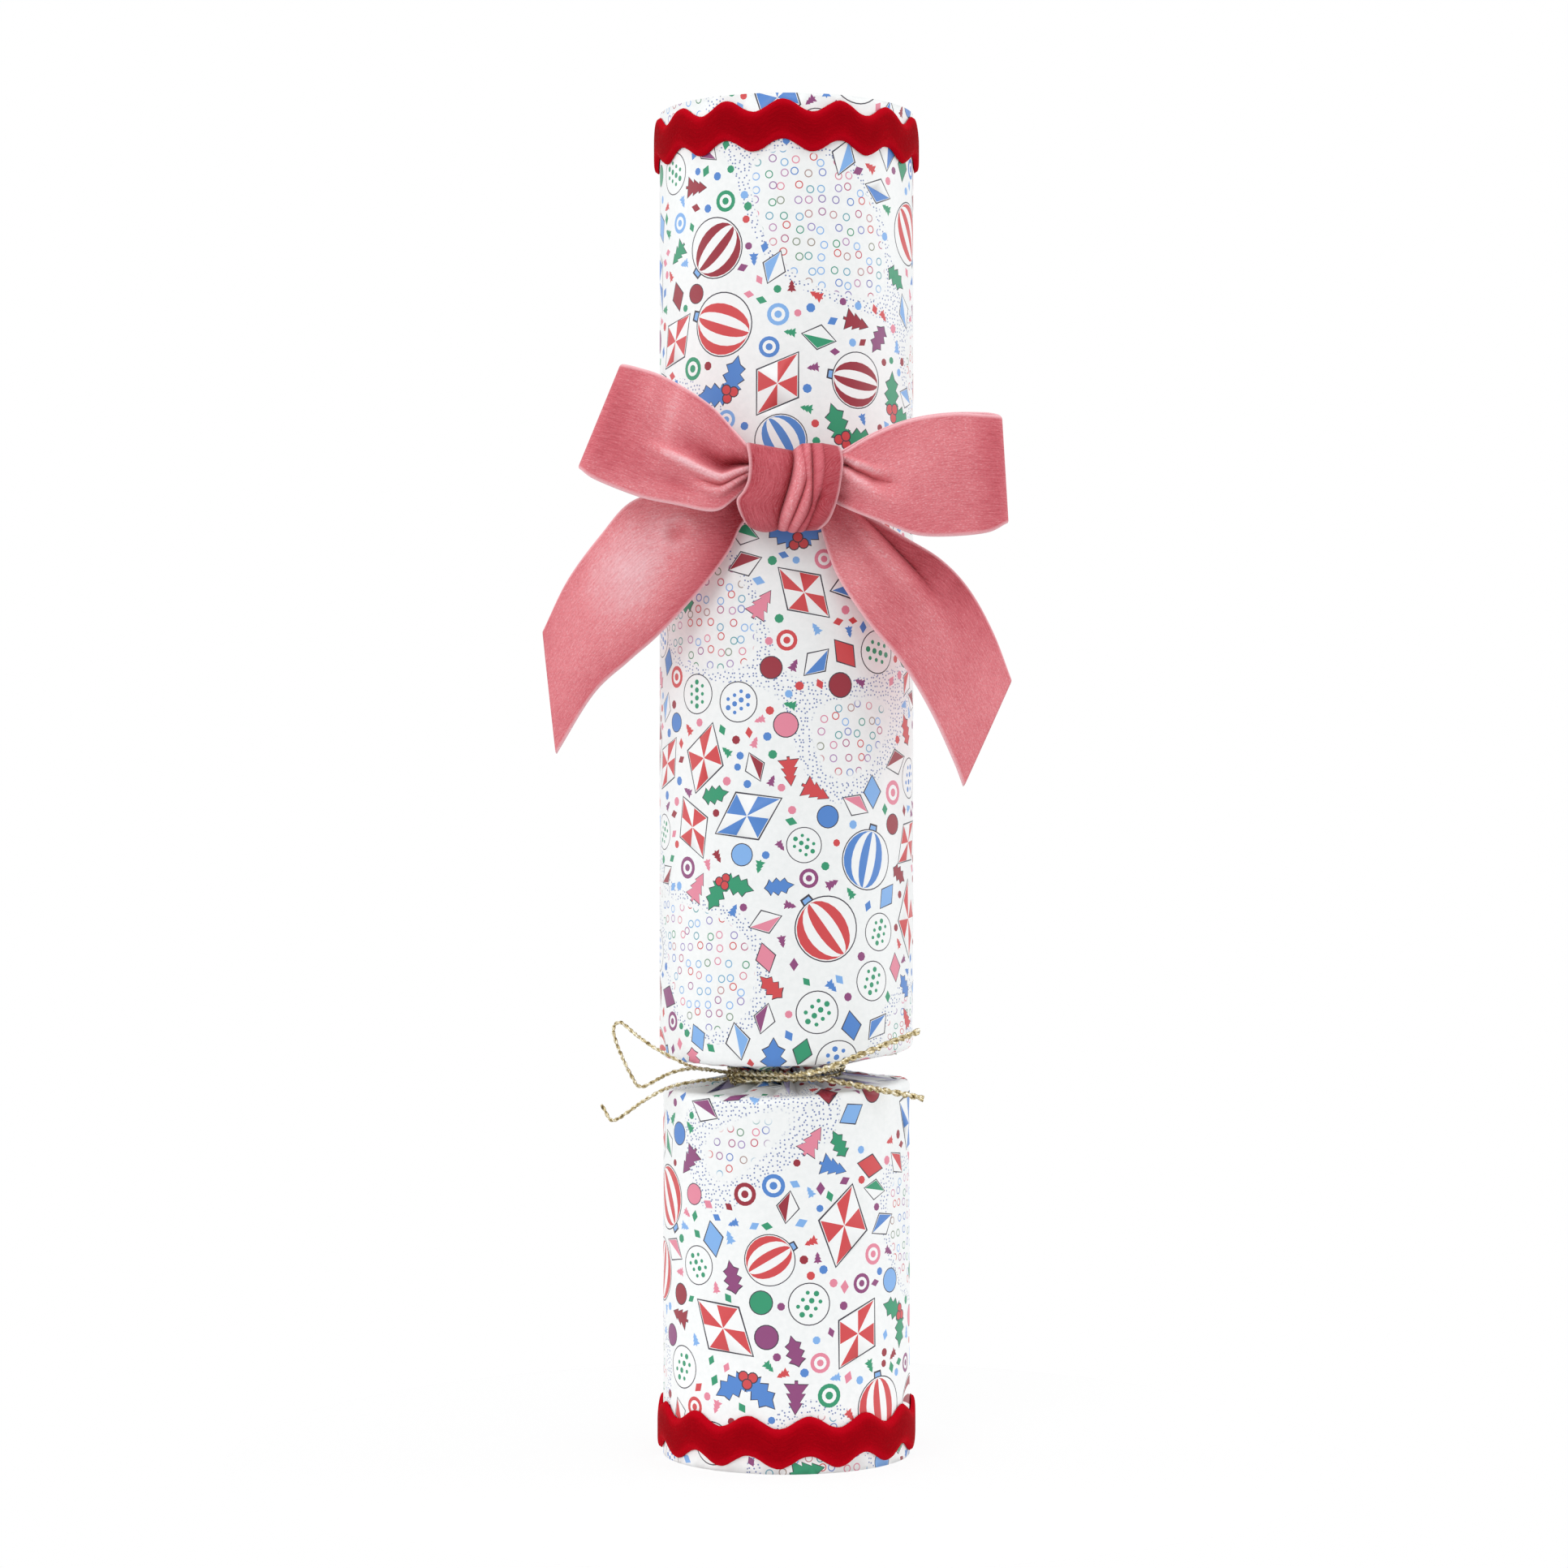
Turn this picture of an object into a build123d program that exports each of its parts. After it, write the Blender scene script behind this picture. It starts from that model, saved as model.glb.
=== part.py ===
"""Christmas cracker standing on its lower end.

The frame has +Z up, its origin at the middle of the lower rim, and the bow towards -Y.
Lengths are in millimetres and angles in degrees.
"""
import os
from math import atan, cos, degrees, pi, radians, sin, sqrt, tan

from build123d import *

# Stretches of the wrap along the axis
lower_end_length = 85.0
barrel_length = 130.0
upper_end_length = 85.0

# Tubes
barrel_radius = 28.5
lower_end_radius = 27.7
wrap_wall = 0.5
card_wall = 0.8
card_clearance = 0.1
card_seam_gap = 1.0
lap_width = 12.0
lap_rise = 0.2

# Gathered necks
upper_setback = 4.5
upper_waist_half_height = 2.6
lower_setback = 3.3
lower_waist_half_height = 2.2
shoulder_round = 2.0
land_width = 1.0
waist_radius = 12.0
pleat_depth = 3.5
pleat_count = 18

# Ric-rac braid at the rims
braid_wall = 1.1
braid_band = 8.7
braid_wave = 1.35
braid_seam_gap = 0.6
upper_braid_waves = 14
lower_braid_waves = 13
upper_braid_below_rim = 7.0
lower_braid_above_rim = 6.9
upper_braid_phase = -91.6
lower_braid_phase = -79.8

# Velvet ribbon and its bow
ribbon_wall = 0.9
soft_gap = 0.3
band_reach = 8.5
band_stem_width = 11.0
band_stem_height = 5.0
tail_standoff = 1.6
tail_flat_reach = 9.0
tail_setback = 14.0
tail_setback_reach = 41.0
tail_root_crown = 0.2
tail_crown = 0.05
loop_standoff = 8.5
loop_root_depth = 4.6
loop_belly_depth = 8.4
loop_fold_depth = 5.6
loop_blank_reach = 30.0
left_loop_length = 30.8
left_loop_tilt = 20.0
left_loop_lift = 2.6
right_loop_length = 33.6
right_loop_tilt = 4.8
right_loop_lift = 0.2

# Gold cord round the lower neck
winding_diameter = 1.0
winding_pitch = 1.45
winding_half_turns = 4
cord_diameter = 0.8
doubled_cord_diameter = 1.4
cord_knot_radius = 1.9
cord_knot_reach = 14.4
cord_knot_angle = 217.0
cord_bend_share = 0.45
winding_samples = 400
winding_samples_apart = 60

# Snap that bangs when the ends are pulled
strip_width = 10.0
strip_wall = 0.6
strip_overlap = 30.0
strip_glue_length = 30.0
strip_rim_inset = 18.0
strip_bend_radius = 8.0
pad_wall = 0.3
pad_length = 16.0
pad_width = 8.0
pad_gap = 0.1
snap_sleeve_wall = 0.3
snap_sleeve_length = 22.0

# Loose contents
crown_height = 62.0
crown_clearance = 1.75
crown_layer = 0.8
crown_layer_pitch = 1.9
crown_half_turns = 7
crown_point_depth = 9.0
crown_point_count = 4
motto_height = 60.0
motto_radius = 4.5
motto_layer = 0.3
motto_layer_pitch = 0.8
motto_half_turns = 8
skittle_height = 48.0
skittle_base_radius = 8.0
skittle_radius = 10.0
skittle_belly_height = 14.0
skittle_neck_radius = 4.2
skittle_neck_height = 35.0
skittle_head_radius = 5.6
skittle_head_start = -37.0

# Heights and radii that follow from them
lower_neck_z = lower_end_length
upper_neck_z = lower_end_length + barrel_length
top_rim_z = upper_neck_z + upper_end_length
barrel_middle_z = lower_neck_z + barrel_length / 2
lower_neck = (lower_neck_z, lower_setback, lower_waist_half_height)
upper_neck = (upper_neck_z, upper_setback, upper_waist_half_height)
waist_valley_radius = waist_radius - pleat_depth
overcut = 1.0


def polar(radius, angle, height=0.0):
    """Point at an angle round the Z axis."""
    return (radius * cos(radians(angle)), radius * sin(radians(angle)), height)


def gather_radius(radius):
    """Radius on a sleeve's flat end where its pleats begin."""
    return radius - shoulder_round - land_width


def star(ridge, valley, height):
    """Level section with a ridge and a valley for each pleat."""
    half_pitch = 180.0 / pleat_count
    with BuildSketch(Plane.XY.offset(height)) as section:
        with BuildLine():
            Polyline(
                *[polar(valley if i % 2 else ridge, i * half_pitch) for i in range(2 * pleat_count)],
                close=True,
            )
        make_face()
    return section.sketch


def inset_star(ridge, valley, inset):
    """Ridge and valley radii of the same star drawn in by a wall."""
    half_pitch = 180.0 / pleat_count
    flank = degrees(atan(valley * sin(radians(half_pitch)) / (ridge - valley * cos(radians(half_pitch)))))
    inner_ridge = ridge - inset / sin(radians(flank))
    inner_valley = valley - inset / sin(radians(flank + half_pitch))
    return inner_ridge, inner_valley


def sleeve(radius, low, high, low_round, high_round, mode):
    """Round column from low to high, with its end corners rounded."""
    with BuildSketch(Plane.XZ) as profile:
        with Locations((radius / 2, (low + high) / 2)):
            Rectangle(radius, high - low)
        corners = profile.vertices().group_by(Axis.X)[-1].sort_by(Axis.Y)
        if low_round > 0:
            fillet(corners[0], low_round)
        if high_round > 0:
            fillet(profile.vertices().group_by(Axis.X)[-1].sort_by(Axis.Y)[-1], high_round)
    revolve(profile.sketch, axis=Axis.Z, mode=mode)


def gather(radius, neck, side, inset, mode):
    """Pleated cone and waist from a sleeve's flat end to the tear line; side is +1 above the neck."""
    neck_z, setback, waist_half_height = neck
    land_z = neck_z + side * (setback + inset)
    waist_z = neck_z + side * (waist_half_height + inset)
    tear_z = neck_z - side * (overcut if inset else 0.0)
    rim = gather_radius(radius) - inset
    ridge, valley = waist_radius, waist_valley_radius
    if inset:
        ridge, valley = inset_star(waist_radius, waist_valley_radius, inset)
    waist = star(ridge, valley, waist_z)
    loft([star(rim, rim, land_z), waist], ruled=True, mode=mode)
    extrude(waist, amount=tear_z - waist_z, mode=mode)


def lap_seam(radius, low, high):
    """Glued lap of the rolled paper, a raised strip up the back."""
    lap_angle = degrees(lap_width / radius)
    start = Plane.XZ.rotated((0, 0, 90.0 - lap_angle / 2))
    with BuildSketch(start) as strip:
        with Locations((radius + lap_rise / 2 - wrap_wall / 4, (low + high) / 2)):
            Rectangle(lap_rise + wrap_wall / 2, high - low)
    revolve(strip.sketch, axis=Axis.Z, revolution_arc=lap_angle)


def card_tube(radius, low, high):
    """Rolled card that stiffens a sleeve of this outside radius, with its seam at the back."""
    outside = radius - wrap_wall - card_clearance
    with BuildSketch(Plane.XY.offset(low)) as ring:
        Circle(outside)
        Circle(outside - card_wall, mode=Mode.SUBTRACT)
        with Locations((0, outside)):
            Rectangle(card_seam_gap, 2 * outside - 2 * card_wall, mode=Mode.SUBTRACT)
    extrude(ring.sketch, amount=high - low)


def wave_edge(pitch, edge, far):
    """Region between a braid's wavy edge and a straight line past it, one wave wide."""
    with BuildLine() as outline:
        trough = ThreePointArc((-pitch / 4, edge), (0, edge - braid_wave), (pitch / 4, edge))
        TangentArc((pitch / 4, edge), (pitch / 2, edge + braid_wave), tangent=trough % 1)
        TangentArc((-pitch / 4, edge), (-pitch / 2, edge + braid_wave), tangent=(trough % 0) * -1)
        Polyline(
            (pitch / 2, edge + braid_wave),
            (pitch / 2, far),
            (-pitch / 2, far),
            (-pitch / 2, edge + braid_wave),
        )
    make_face(outline.edges())


def braid(radius, middle_z, waves, phase):
    """Ric-rac glued round a sleeve, its ends butted at the back; phase is the angle of a crest."""
    seat = radius + lap_rise
    outside = seat + braid_wall
    half_height = braid_band / 2 + braid_wave
    pitch = 2 * outside * tan(radians(180.0 / waves))
    with BuildSketch(Plane.XY.offset(middle_z - half_height)) as ring:
        Circle(outside)
        Circle(seat, mode=Mode.SUBTRACT)
    extrude(ring.sketch, amount=2 * half_height)
    troughs = [
        Plane(
            origin=polar(seat - overcut, phase + (i + 0.5) * 360.0 / waves, middle_z),
            x_dir=polar(1, phase + (i + 0.5) * 360.0 / waves + 90.0),
            z_dir=polar(1, phase + (i + 0.5) * 360.0 / waves),
        )
        for i in range(waves)
    ]
    with BuildSketch(*troughs) as waste:
        wave_edge(pitch, braid_band / 2, half_height + overcut)
        wave_edge(pitch, -braid_band / 2, -half_height - overcut)
    extrude(waste.sketch, amount=braid_wall + 2 * overcut, mode=Mode.SUBTRACT)
    with BuildSketch(Plane.XY.offset(middle_z - half_height)) as seam:
        with Locations((0, outside)):
            Rectangle(braid_seam_gap, outside)
    extrude(seam.sketch, amount=2 * half_height, mode=Mode.SUBTRACT)


def tail_point(point):
    """Edge point of a bow tail, given across and up from the upper neck, set at its depth."""
    across, up = point
    past_knot = max(abs(across) - tail_flat_reach, 0.0)
    depth = barrel_radius + tail_standoff - tail_setback * (past_knot / tail_setback_reach) ** 2
    return Vector(across, -depth, upper_neck_z + up)


def tail_section(upper, lower, crown):
    """Cross-section of a bow tail between two edge points, crowned towards the front."""
    start = tail_point(upper)
    end = tail_point(lower)
    along = (end - start).normalized()
    half = (end - start).length / 2
    place = Plane(origin=(start + end) / 2, x_dir=along, z_dir=along.cross(Vector(0, 1, 0)))
    with BuildSketch(place) as section:
        with BuildLine():
            near = ribbon_wall / 2
            front = ThreePointArc((-half, near), (0, near - crown), (half, near))
            back = ThreePointArc((-half, -near), (0, -near - crown), (half, -near))
            Line(front @ 0, back @ 0)
            Line(front @ 1, back @ 1)
        make_face()
    return section.sketch


def tail_width(section):
    """Breadth of a bow tail between two edge points, seen from the front."""
    (left, top), (right, bottom) = section
    return sqrt((left - right) ** 2 + (top - bottom) ** 2)


def bow_tail(sections):
    """Ribbon tail lofted through pairs of edge points, from the knot to its slanted cut."""
    root_width = tail_width(sections[0])
    loft([
        tail_section(*edges, tail_root_crown + tail_crown * (tail_width(edges) - root_width))
        for edges in sections
    ])


def loop_ring(root, heading, length):
    """Flattened ring of ribbon seen along the fold, drawn from the knot outwards."""
    seen_along_fold = Plane(origin=root, x_dir=heading, z_dir=heading.cross(Vector(0, 1, 0)))
    fold_start = length - loop_fold_depth / 2
    with BuildSketch(seen_along_fold) as ring:
        with BuildLine():
            near = ThreePointArc(
                (0, loop_root_depth / 2),
                (length / 2, loop_belly_depth / 2),
                (fold_start, loop_fold_depth / 2),
            )
            ThreePointArc(near @ 1, (length, 0), (fold_start, -loop_fold_depth / 2))
            far = ThreePointArc(
                (0, -loop_root_depth / 2),
                (length / 2, -loop_belly_depth / 2),
                (fold_start, -loop_fold_depth / 2),
            )
            Line(near @ 0, far @ 0)
        make_face()
        offset(amount=-ribbon_wall, kind=Kind.INTERSECTION, mode=Mode.SUBTRACT)
    extrude(ring.sketch, amount=loop_blank_reach, both=True)


def bow_loop(side, root_x, lift, length, tilt, top_edge, fold_corners, bottom_edge):
    """Folded ring of ribbon, trimmed to the outline seen from the front.

    Side is -1 on the left. Each edge is an arc through three points and the corners lie past the
    fold, all given outwards from the root and up from the upper neck.
    """
    depth = barrel_radius + loop_standoff
    heading = Vector(side * cos(radians(tilt)), 0, sin(radians(tilt)))
    loop_ring(Vector(root_x, -depth, upper_neck_z + lift), heading, length)
    with BuildSketch(Plane.XZ) as outline:
        with BuildLine():
            top = ThreePointArc(*[(root_x + side * out, upper_neck_z + up) for out, up in top_edge])
            bottom = ThreePointArc(*[(root_x + side * out, upper_neck_z + up) for out, up in bottom_edge])
            corners = [(root_x + side * out, upper_neck_z + up) for out, up in fold_corners]
            Line(top @ 0, bottom @ 0)
            Polyline(top @ 1, *corners, bottom @ 1)
        make_face()
    extrude(outline.sketch, amount=depth + loop_belly_depth, mode=Mode.INTERSECT)


def corner_radii(points):
    """Largest bend that the two runs at each inner point of a route leave room for."""
    runs = [Vector(b) - Vector(a) for a, b in zip(points, points[1:])]
    radii = []
    for before, after in zip(runs, runs[1:]):
        turn = before.get_angle(after)
        radii.append(cord_bend_share * min(before.length, after.length) / tan(radians(turn / 2)))
    return radii


def cord_stretch(name, offsets, diameter):
    """Free stretch of cord along a route given from the lower neck's middle."""
    points = [(x, y, lower_neck_z + z) for x, y, z in offsets]
    radii = corner_radii(points)
    with BuildLine() as route:
        FilletPolyline(*points, radius=radii)
    path = route.wire()
    with BuildSketch(Plane(origin=path @ 0, z_dir=path % 0)) as section:
        Circle(diameter / 2)
    tube = sweep(section.sketch, path=path)
    share = tube.volume / (pi * diameter**2 / 4 * path.length)
    print(name, "length", round(path.length, 1), "volume share", round(share, 3))


def roll(place, radius, layer, layer_pitch, half_turns, height):
    """Rolled sheet, a spiral of half circles that closes in from its outside radius."""
    step = layer_pitch / 2
    with BuildSketch(place) as spiral:
        with BuildLine():
            edge_x = radius - layer / 2
            for i in range(half_turns):
                reach = radius - layer / 2 - i * step / 2
                side = 1 if i % 2 == 0 else -1
                start = (edge_x, 0)
                edge_x = edge_x - side * 2 * reach + side * step / 2
                middle = ((start[0] + edge_x) / 2, side * abs(start[0] - edge_x) / 2)
                ThreePointArc(start, middle, (edge_x, 0))
        trace(line_width=layer)
    extrude(spiral.sketch, amount=height)


def save(builder, name):
    """Labels a finished piece and writes it under its node's name."""
    builder.part.label = name
    export_step(builder.part, f"parts/{name}.step")


os.makedirs("parts", exist_ok=True)

# Printed wrap, torn along its perforations into a barrel and two ends
barrel_low = lower_neck_z + lower_setback
barrel_high = upper_neck_z - upper_setback
inner_round = shoulder_round - wrap_wall

with BuildPart() as barrel_wrap:
    sleeve(barrel_radius, barrel_low, barrel_high, shoulder_round, shoulder_round, Mode.ADD)
    gather(barrel_radius, lower_neck, 1, 0.0, Mode.ADD)
    gather(barrel_radius, upper_neck, -1, 0.0, Mode.ADD)
    lap_seam(barrel_radius, barrel_low + shoulder_round, barrel_high - shoulder_round)
    sleeve(
        barrel_radius - wrap_wall,
        barrel_low + wrap_wall,
        barrel_high - wrap_wall,
        inner_round,
        inner_round,
        Mode.SUBTRACT,
    )
    gather(barrel_radius, lower_neck, 1, wrap_wall, Mode.SUBTRACT)
    gather(barrel_radius, upper_neck, -1, wrap_wall, Mode.SUBTRACT)
save(barrel_wrap, "barrel_wrap")

upper_low = upper_neck_z + upper_setback
with BuildPart() as upper_end_wrap:
    sleeve(barrel_radius, upper_low, top_rim_z, shoulder_round, 0.0, Mode.ADD)
    gather(barrel_radius, upper_neck, 1, 0.0, Mode.ADD)
    lap_seam(barrel_radius, upper_low + shoulder_round, top_rim_z)
    sleeve(
        barrel_radius - wrap_wall,
        upper_low + wrap_wall,
        top_rim_z + overcut,
        inner_round,
        0.0,
        Mode.SUBTRACT,
    )
    gather(barrel_radius, upper_neck, 1, wrap_wall, Mode.SUBTRACT)
save(upper_end_wrap, "upper_end_wrap")

lower_high = lower_neck_z - lower_setback
with BuildPart() as lower_end_wrap:
    sleeve(lower_end_radius, 0.0, lower_high, 0.0, shoulder_round, Mode.ADD)
    gather(lower_end_radius, lower_neck, -1, 0.0, Mode.ADD)
    lap_seam(lower_end_radius, 0.0, lower_high - shoulder_round)
    sleeve(
        lower_end_radius - wrap_wall,
        -overcut,
        lower_high - wrap_wall,
        0.0,
        inner_round,
        Mode.SUBTRACT,
    )
    gather(lower_end_radius, lower_neck, -1, wrap_wall, Mode.SUBTRACT)
save(lower_end_wrap, "lower_end_wrap")

# Stiffening card inside each stretch
with BuildPart() as barrel_card:
    card_tube(barrel_radius, barrel_low + shoulder_round, barrel_high - shoulder_round)
save(barrel_card, "barrel_card")

with BuildPart() as upper_end_card:
    card_tube(barrel_radius, upper_low + shoulder_round, top_rim_z)
save(upper_end_card, "upper_end_card")

with BuildPart() as lower_end_card:
    card_tube(lower_end_radius, 0.0, lower_high - shoulder_round)
save(lower_end_card, "lower_end_card")

# Ric-rac round the rims
with BuildPart() as upper_ricrac:
    braid(barrel_radius, top_rim_z - upper_braid_below_rim, upper_braid_waves, upper_braid_phase)
save(upper_ricrac, "upper_ricrac")

with BuildPart() as lower_ricrac:
    braid(lower_end_radius, lower_braid_above_rim, lower_braid_waves, lower_braid_phase)
save(lower_ricrac, "lower_ricrac")

# Ribbon bunched in the groove of the upper neck, with the stem that it is tied by
knot_back = barrel_radius + tail_standoff + ribbon_wall / 2 + tail_root_crown + soft_gap
band_inside = waist_radius + soft_gap
band_outside = band_inside + band_reach
groove_slope = (upper_setback - upper_waist_half_height) / (gather_radius(barrel_radius) - waist_radius)
band_inner_half = upper_waist_half_height - soft_gap
band_outer_half = upper_waist_half_height + groove_slope * band_reach - soft_gap
with BuildPart() as ribbon_neck_band:
    with BuildSketch(Plane.XZ):
        with BuildLine():
            bulge = ThreePointArc(
                (band_outside, upper_neck_z - band_outer_half),
                (band_outside + band_outer_half / 2, upper_neck_z),
                (band_outside, upper_neck_z + band_outer_half),
            )
            Polyline(
                bulge @ 1,
                (band_inside, upper_neck_z + band_inner_half),
                (band_inside, upper_neck_z - band_inner_half),
                bulge @ 0,
            )
        make_face()
    revolve(axis=Axis.Z)
    with BuildSketch(Plane.XZ.offset(band_outside - ribbon_wall)):
        with Locations((0, upper_neck_z)):
            RectangleRounded(band_stem_width, band_stem_height, band_stem_height / 3)
    extrude(amount=knot_back - soft_gap - band_outside + ribbon_wall)
save(ribbon_neck_band, "ribbon_neck_band")

# Knot of the bow: across, height, depth and lift of each section
knot_sections = [
    (-10.6, 11.0, 6.0, -1.0),
    (-9.0, 16.6, 10.0, -1.0),
    (-5.5, 19.0, 12.4, -1.2),
    (-1.6, 18.2, 11.6, -1.8),
    (-0.4, 16.6, 9.6, -2.0),
    (1.2, 18.2, 11.2, -1.9),
    (2.4, 17.2, 10.0, -1.6),
    (3.8, 18.6, 11.2, -1.3),
    (5.2, 17.6, 10.2, -0.9),
    (8.2, 18.2, 12.4, -0.5),
    (11.2, 14.4, 9.4, 0.4),
    (12.4, 10.0, 6.0, 0.8),
]
knot_left = knot_sections[0][0]
knot_right = knot_sections[-1][0]
with BuildPart() as bow_knot:
    for across, height, depth, lift in knot_sections:
        with BuildSketch(Plane.YZ.offset(across)):
            with Locations((-knot_back - depth / 2, upper_neck_z + lift)):
                RectangleRounded(depth, height, depth / 3)
    loft(ruled=True)
save(bow_knot, "bow_knot")

# Loops of the bow
with BuildPart() as bow_loop_left:
    bow_loop(
        side=-1,
        root_x=knot_left - soft_gap,
        lift=left_loop_lift,
        length=left_loop_length,
        tilt=left_loop_tilt,
        top_edge=[(0.0, 9.4), (9.6, 19.4), (24.3, 25.0)],
        fold_corners=[(34.0, 28.5), (37.0, 3.2)],
        bottom_edge=[(0.0, -3.4), (11.0, -6.2), (33.5, 1.7)],
    )
save(bow_loop_left, "bow_loop_left")

with BuildPart() as bow_loop_right:
    bow_loop(
        side=1,
        root_x=knot_right + soft_gap,
        lift=right_loop_lift,
        length=right_loop_length,
        tilt=right_loop_tilt,
        top_edge=[(0.0, 6.0), (12.0, 12.2), (34.0, 14.0)],
        fold_corners=[(38.0, -6.0), (35.0, -9.0)],
        bottom_edge=[(0.0, -5.4), (13.0, -11.4), (31.0, -12.0)],
    )
save(bow_loop_right, "bow_loop_right")

# Tails of the bow: pairs of upper and lower edge points, across and up from the upper neck
with BuildPart() as bow_tail_left:
    bow_tail([
        ((-8.6, 1.0), (-7.2, -6.8)),
        ((-13.6, -0.4), (-9.8, -9.8)),
        ((-24.0, -1.2), (-13.2, -15.8)),
        ((-35.0, -4.8), (-19.5, -23.6)),
        ((-45.0, -15.8), (-28.5, -33.0)),
        ((-51.2, -25.5), (-40.0, -43.5)),
        ((-53.7, -31.5), (-50.7, -58.3)),
    ])
save(bow_tail_left, "bow_tail_left")

with BuildPart() as bow_tail_right:
    bow_tail([
        ((9.6, -1.2), (6.8, -7.4)),
        ((14.2, -4.4), (8.0, -11.2)),
        ((20.5, -7.5), (9.5, -17.0)),
        ((29.0, -12.8), (13.5, -24.5)),
        ((38.0, -20.0), (20.0, -33.0)),
        ((45.3, -31.5), (29.0, -45.5)),
        ((49.5, -41.5), (38.6, -65.5)),
    ])
save(bow_tail_right, "bow_tail_right")

# Gold cord wound round the lower neck, as half turns that climb on tilted arcs
winding_reach = waist_radius + soft_gap + winding_diameter / 2
winding_low = lower_neck_z - winding_half_turns * winding_pitch / 4
with BuildPart() as cord_neck_winding:
    with BuildLine() as turns:
        for i in range(winding_half_turns):
            start_angle = cord_knot_angle + 180.0 * i
            start_z = winding_low + winding_pitch * i / 2
            ThreePointArc(
                polar(winding_reach, start_angle, start_z),
                polar(winding_reach, start_angle + 90.0, start_z + winding_pitch / 4),
                polar(winding_reach, start_angle + 180.0, start_z + winding_pitch / 2),
            )
        coil = turns.wire()
        Line(coil @ 0, coil @ 0 - (coil % 0) * winding_diameter)
        Line(coil @ 1, coil @ 1 + (coil % 1) * winding_diameter)
    winding_path = turns.wire()
    with BuildSketch(Plane(origin=winding_path @ 0, z_dir=winding_path % 0)):
        Circle(winding_diameter / 2)
    sweep(path=winding_path)
save(cord_neck_winding, "cord_neck_winding")
winding_points = [winding_path @ (i / winding_samples) for i in range(winding_samples + 1)]
least_gap = min(
    (near_point - far_point).length - winding_diameter
    for i, near_point in enumerate(winding_points)
    for far_point in winding_points[i + winding_samples_apart:]
)
print("winding least gap to itself", round(least_gap, 2))

with BuildPart() as cord_knot:
    with Locations(polar(cord_knot_reach, cord_knot_angle, lower_neck_z)):
        Sphere(cord_knot_radius)
save(cord_knot, "cord_knot")

# Free stretches of the gold cord: across, back and up from the middle of the lower neck
with BuildPart() as cord_loop_left:
    cord_stretch("cord_loop_left", [
        (-12.4, -9.8, 0.9),
        (-16.4, -14.2, 1.7),
        (-20.6, -18.6, 2.6),
        (-25.6, -19.2, 5.2),
        (-30.6, -15.6, 7.7),
        (-34.6, -12.4, 10.5),
        (-37.0, -10.9, 12.6),
        (-38.7, -10.4, 10.9),
        (-37.9, -10.4, 7.7),
        (-36.0, -10.2, 3.2),
        (-34.4, -10.1, 0.0),
        (-32.9, -10.0, -2.5),
        (-30.7, -10.1, -1.9),
        (-27.4, -10.3, 0.2),
        (-23.6, -10.4, 1.6),
        (-19.3, -9.9, 1.9),
        (-15.4, -9.3, 1.2),
        (-13.0, -8.9, 0.8),
    ], cord_diameter)
save(cord_loop_left, "cord_loop_left")

with BuildPart() as cord_end_left:
    cord_stretch("cord_end_left", [
        (-13.2, -8.6, -0.6),
        (-17.2, -9.4, -0.7),
        (-21.6, -10.1, -1.2),
        (-26.4, -10.6, -2.3),
        (-31.0, -10.8, -4.8),
        (-34.8, -10.7, -7.5),
        (-37.6, -10.6, -9.6),
        (-39.2, -10.5, -9.7),
        (-40.0, -10.4, -8.2),
        (-41.1, -10.3, -6.1),
    ], cord_diameter)
save(cord_end_left, "cord_end_left")

with BuildPart() as cord_end_right_upper:
    cord_stretch("cord_end_right_upper", [
        (-11.3, -10.3, 0.9),
        (-5.6, -16.2, 1.2),
        (-1.6, -21.6, 1.5),
        (3.4, -27.2, 1.9),
        (9.4, -30.6, 3.6),
        (16.2, -29.8, 6.5),
        (22.4, -26.6, 8.6),
        (29.0, -22.0, 10.9),
    ], doubled_cord_diameter)
save(cord_end_right_upper, "cord_end_right_upper")

with BuildPart() as cord_end_right_lower:
    cord_stretch("cord_end_right_lower", [
        (-10.9, -10.2, -0.7),
        (-5.2, -15.4, -0.2),
        (0.6, -18.9, 0.4),
        (7.0, -21.2, 0.5),
        (13.2, -22.0, -0.4),
        (19.4, -21.4, -1.9),
        (25.0, -20.2, -2.8),
        (30.0, -18.6, -4.2),
    ], doubled_cord_diameter)
save(cord_end_right_lower, "cord_end_right_lower")

# Snap strips: along the end's wall, slanting to the axis, through the neck to the overlap
strip_layer = pad_wall + pad_gap / 2 + strip_wall / 2
upper_strip_wall_y = sqrt(
    (barrel_radius - wrap_wall - card_clearance - card_wall) ** 2 - (strip_width / 2) ** 2
) - soft_gap / 2 - strip_wall / 2
lower_strip_wall_y = upper_strip_wall_y - barrel_radius + lower_end_radius
upper_strip_tip = barrel_middle_z - strip_overlap / 2
lower_strip_tip = barrel_middle_z + strip_overlap / 2
with BuildPart() as upper_snap_strip:
    with BuildSketch(Plane.YZ):
        with BuildLine():
            FilletPolyline(
                (upper_strip_wall_y, top_rim_z - strip_rim_inset),
                (upper_strip_wall_y, top_rim_z - strip_rim_inset - strip_glue_length),
                (strip_layer, upper_neck_z + upper_setback),
                (strip_layer, upper_strip_tip),
                radius=strip_bend_radius,
            )
        trace(line_width=strip_wall)
    extrude(amount=strip_width / 2, both=True)
save(upper_snap_strip, "upper_snap_strip")

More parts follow.
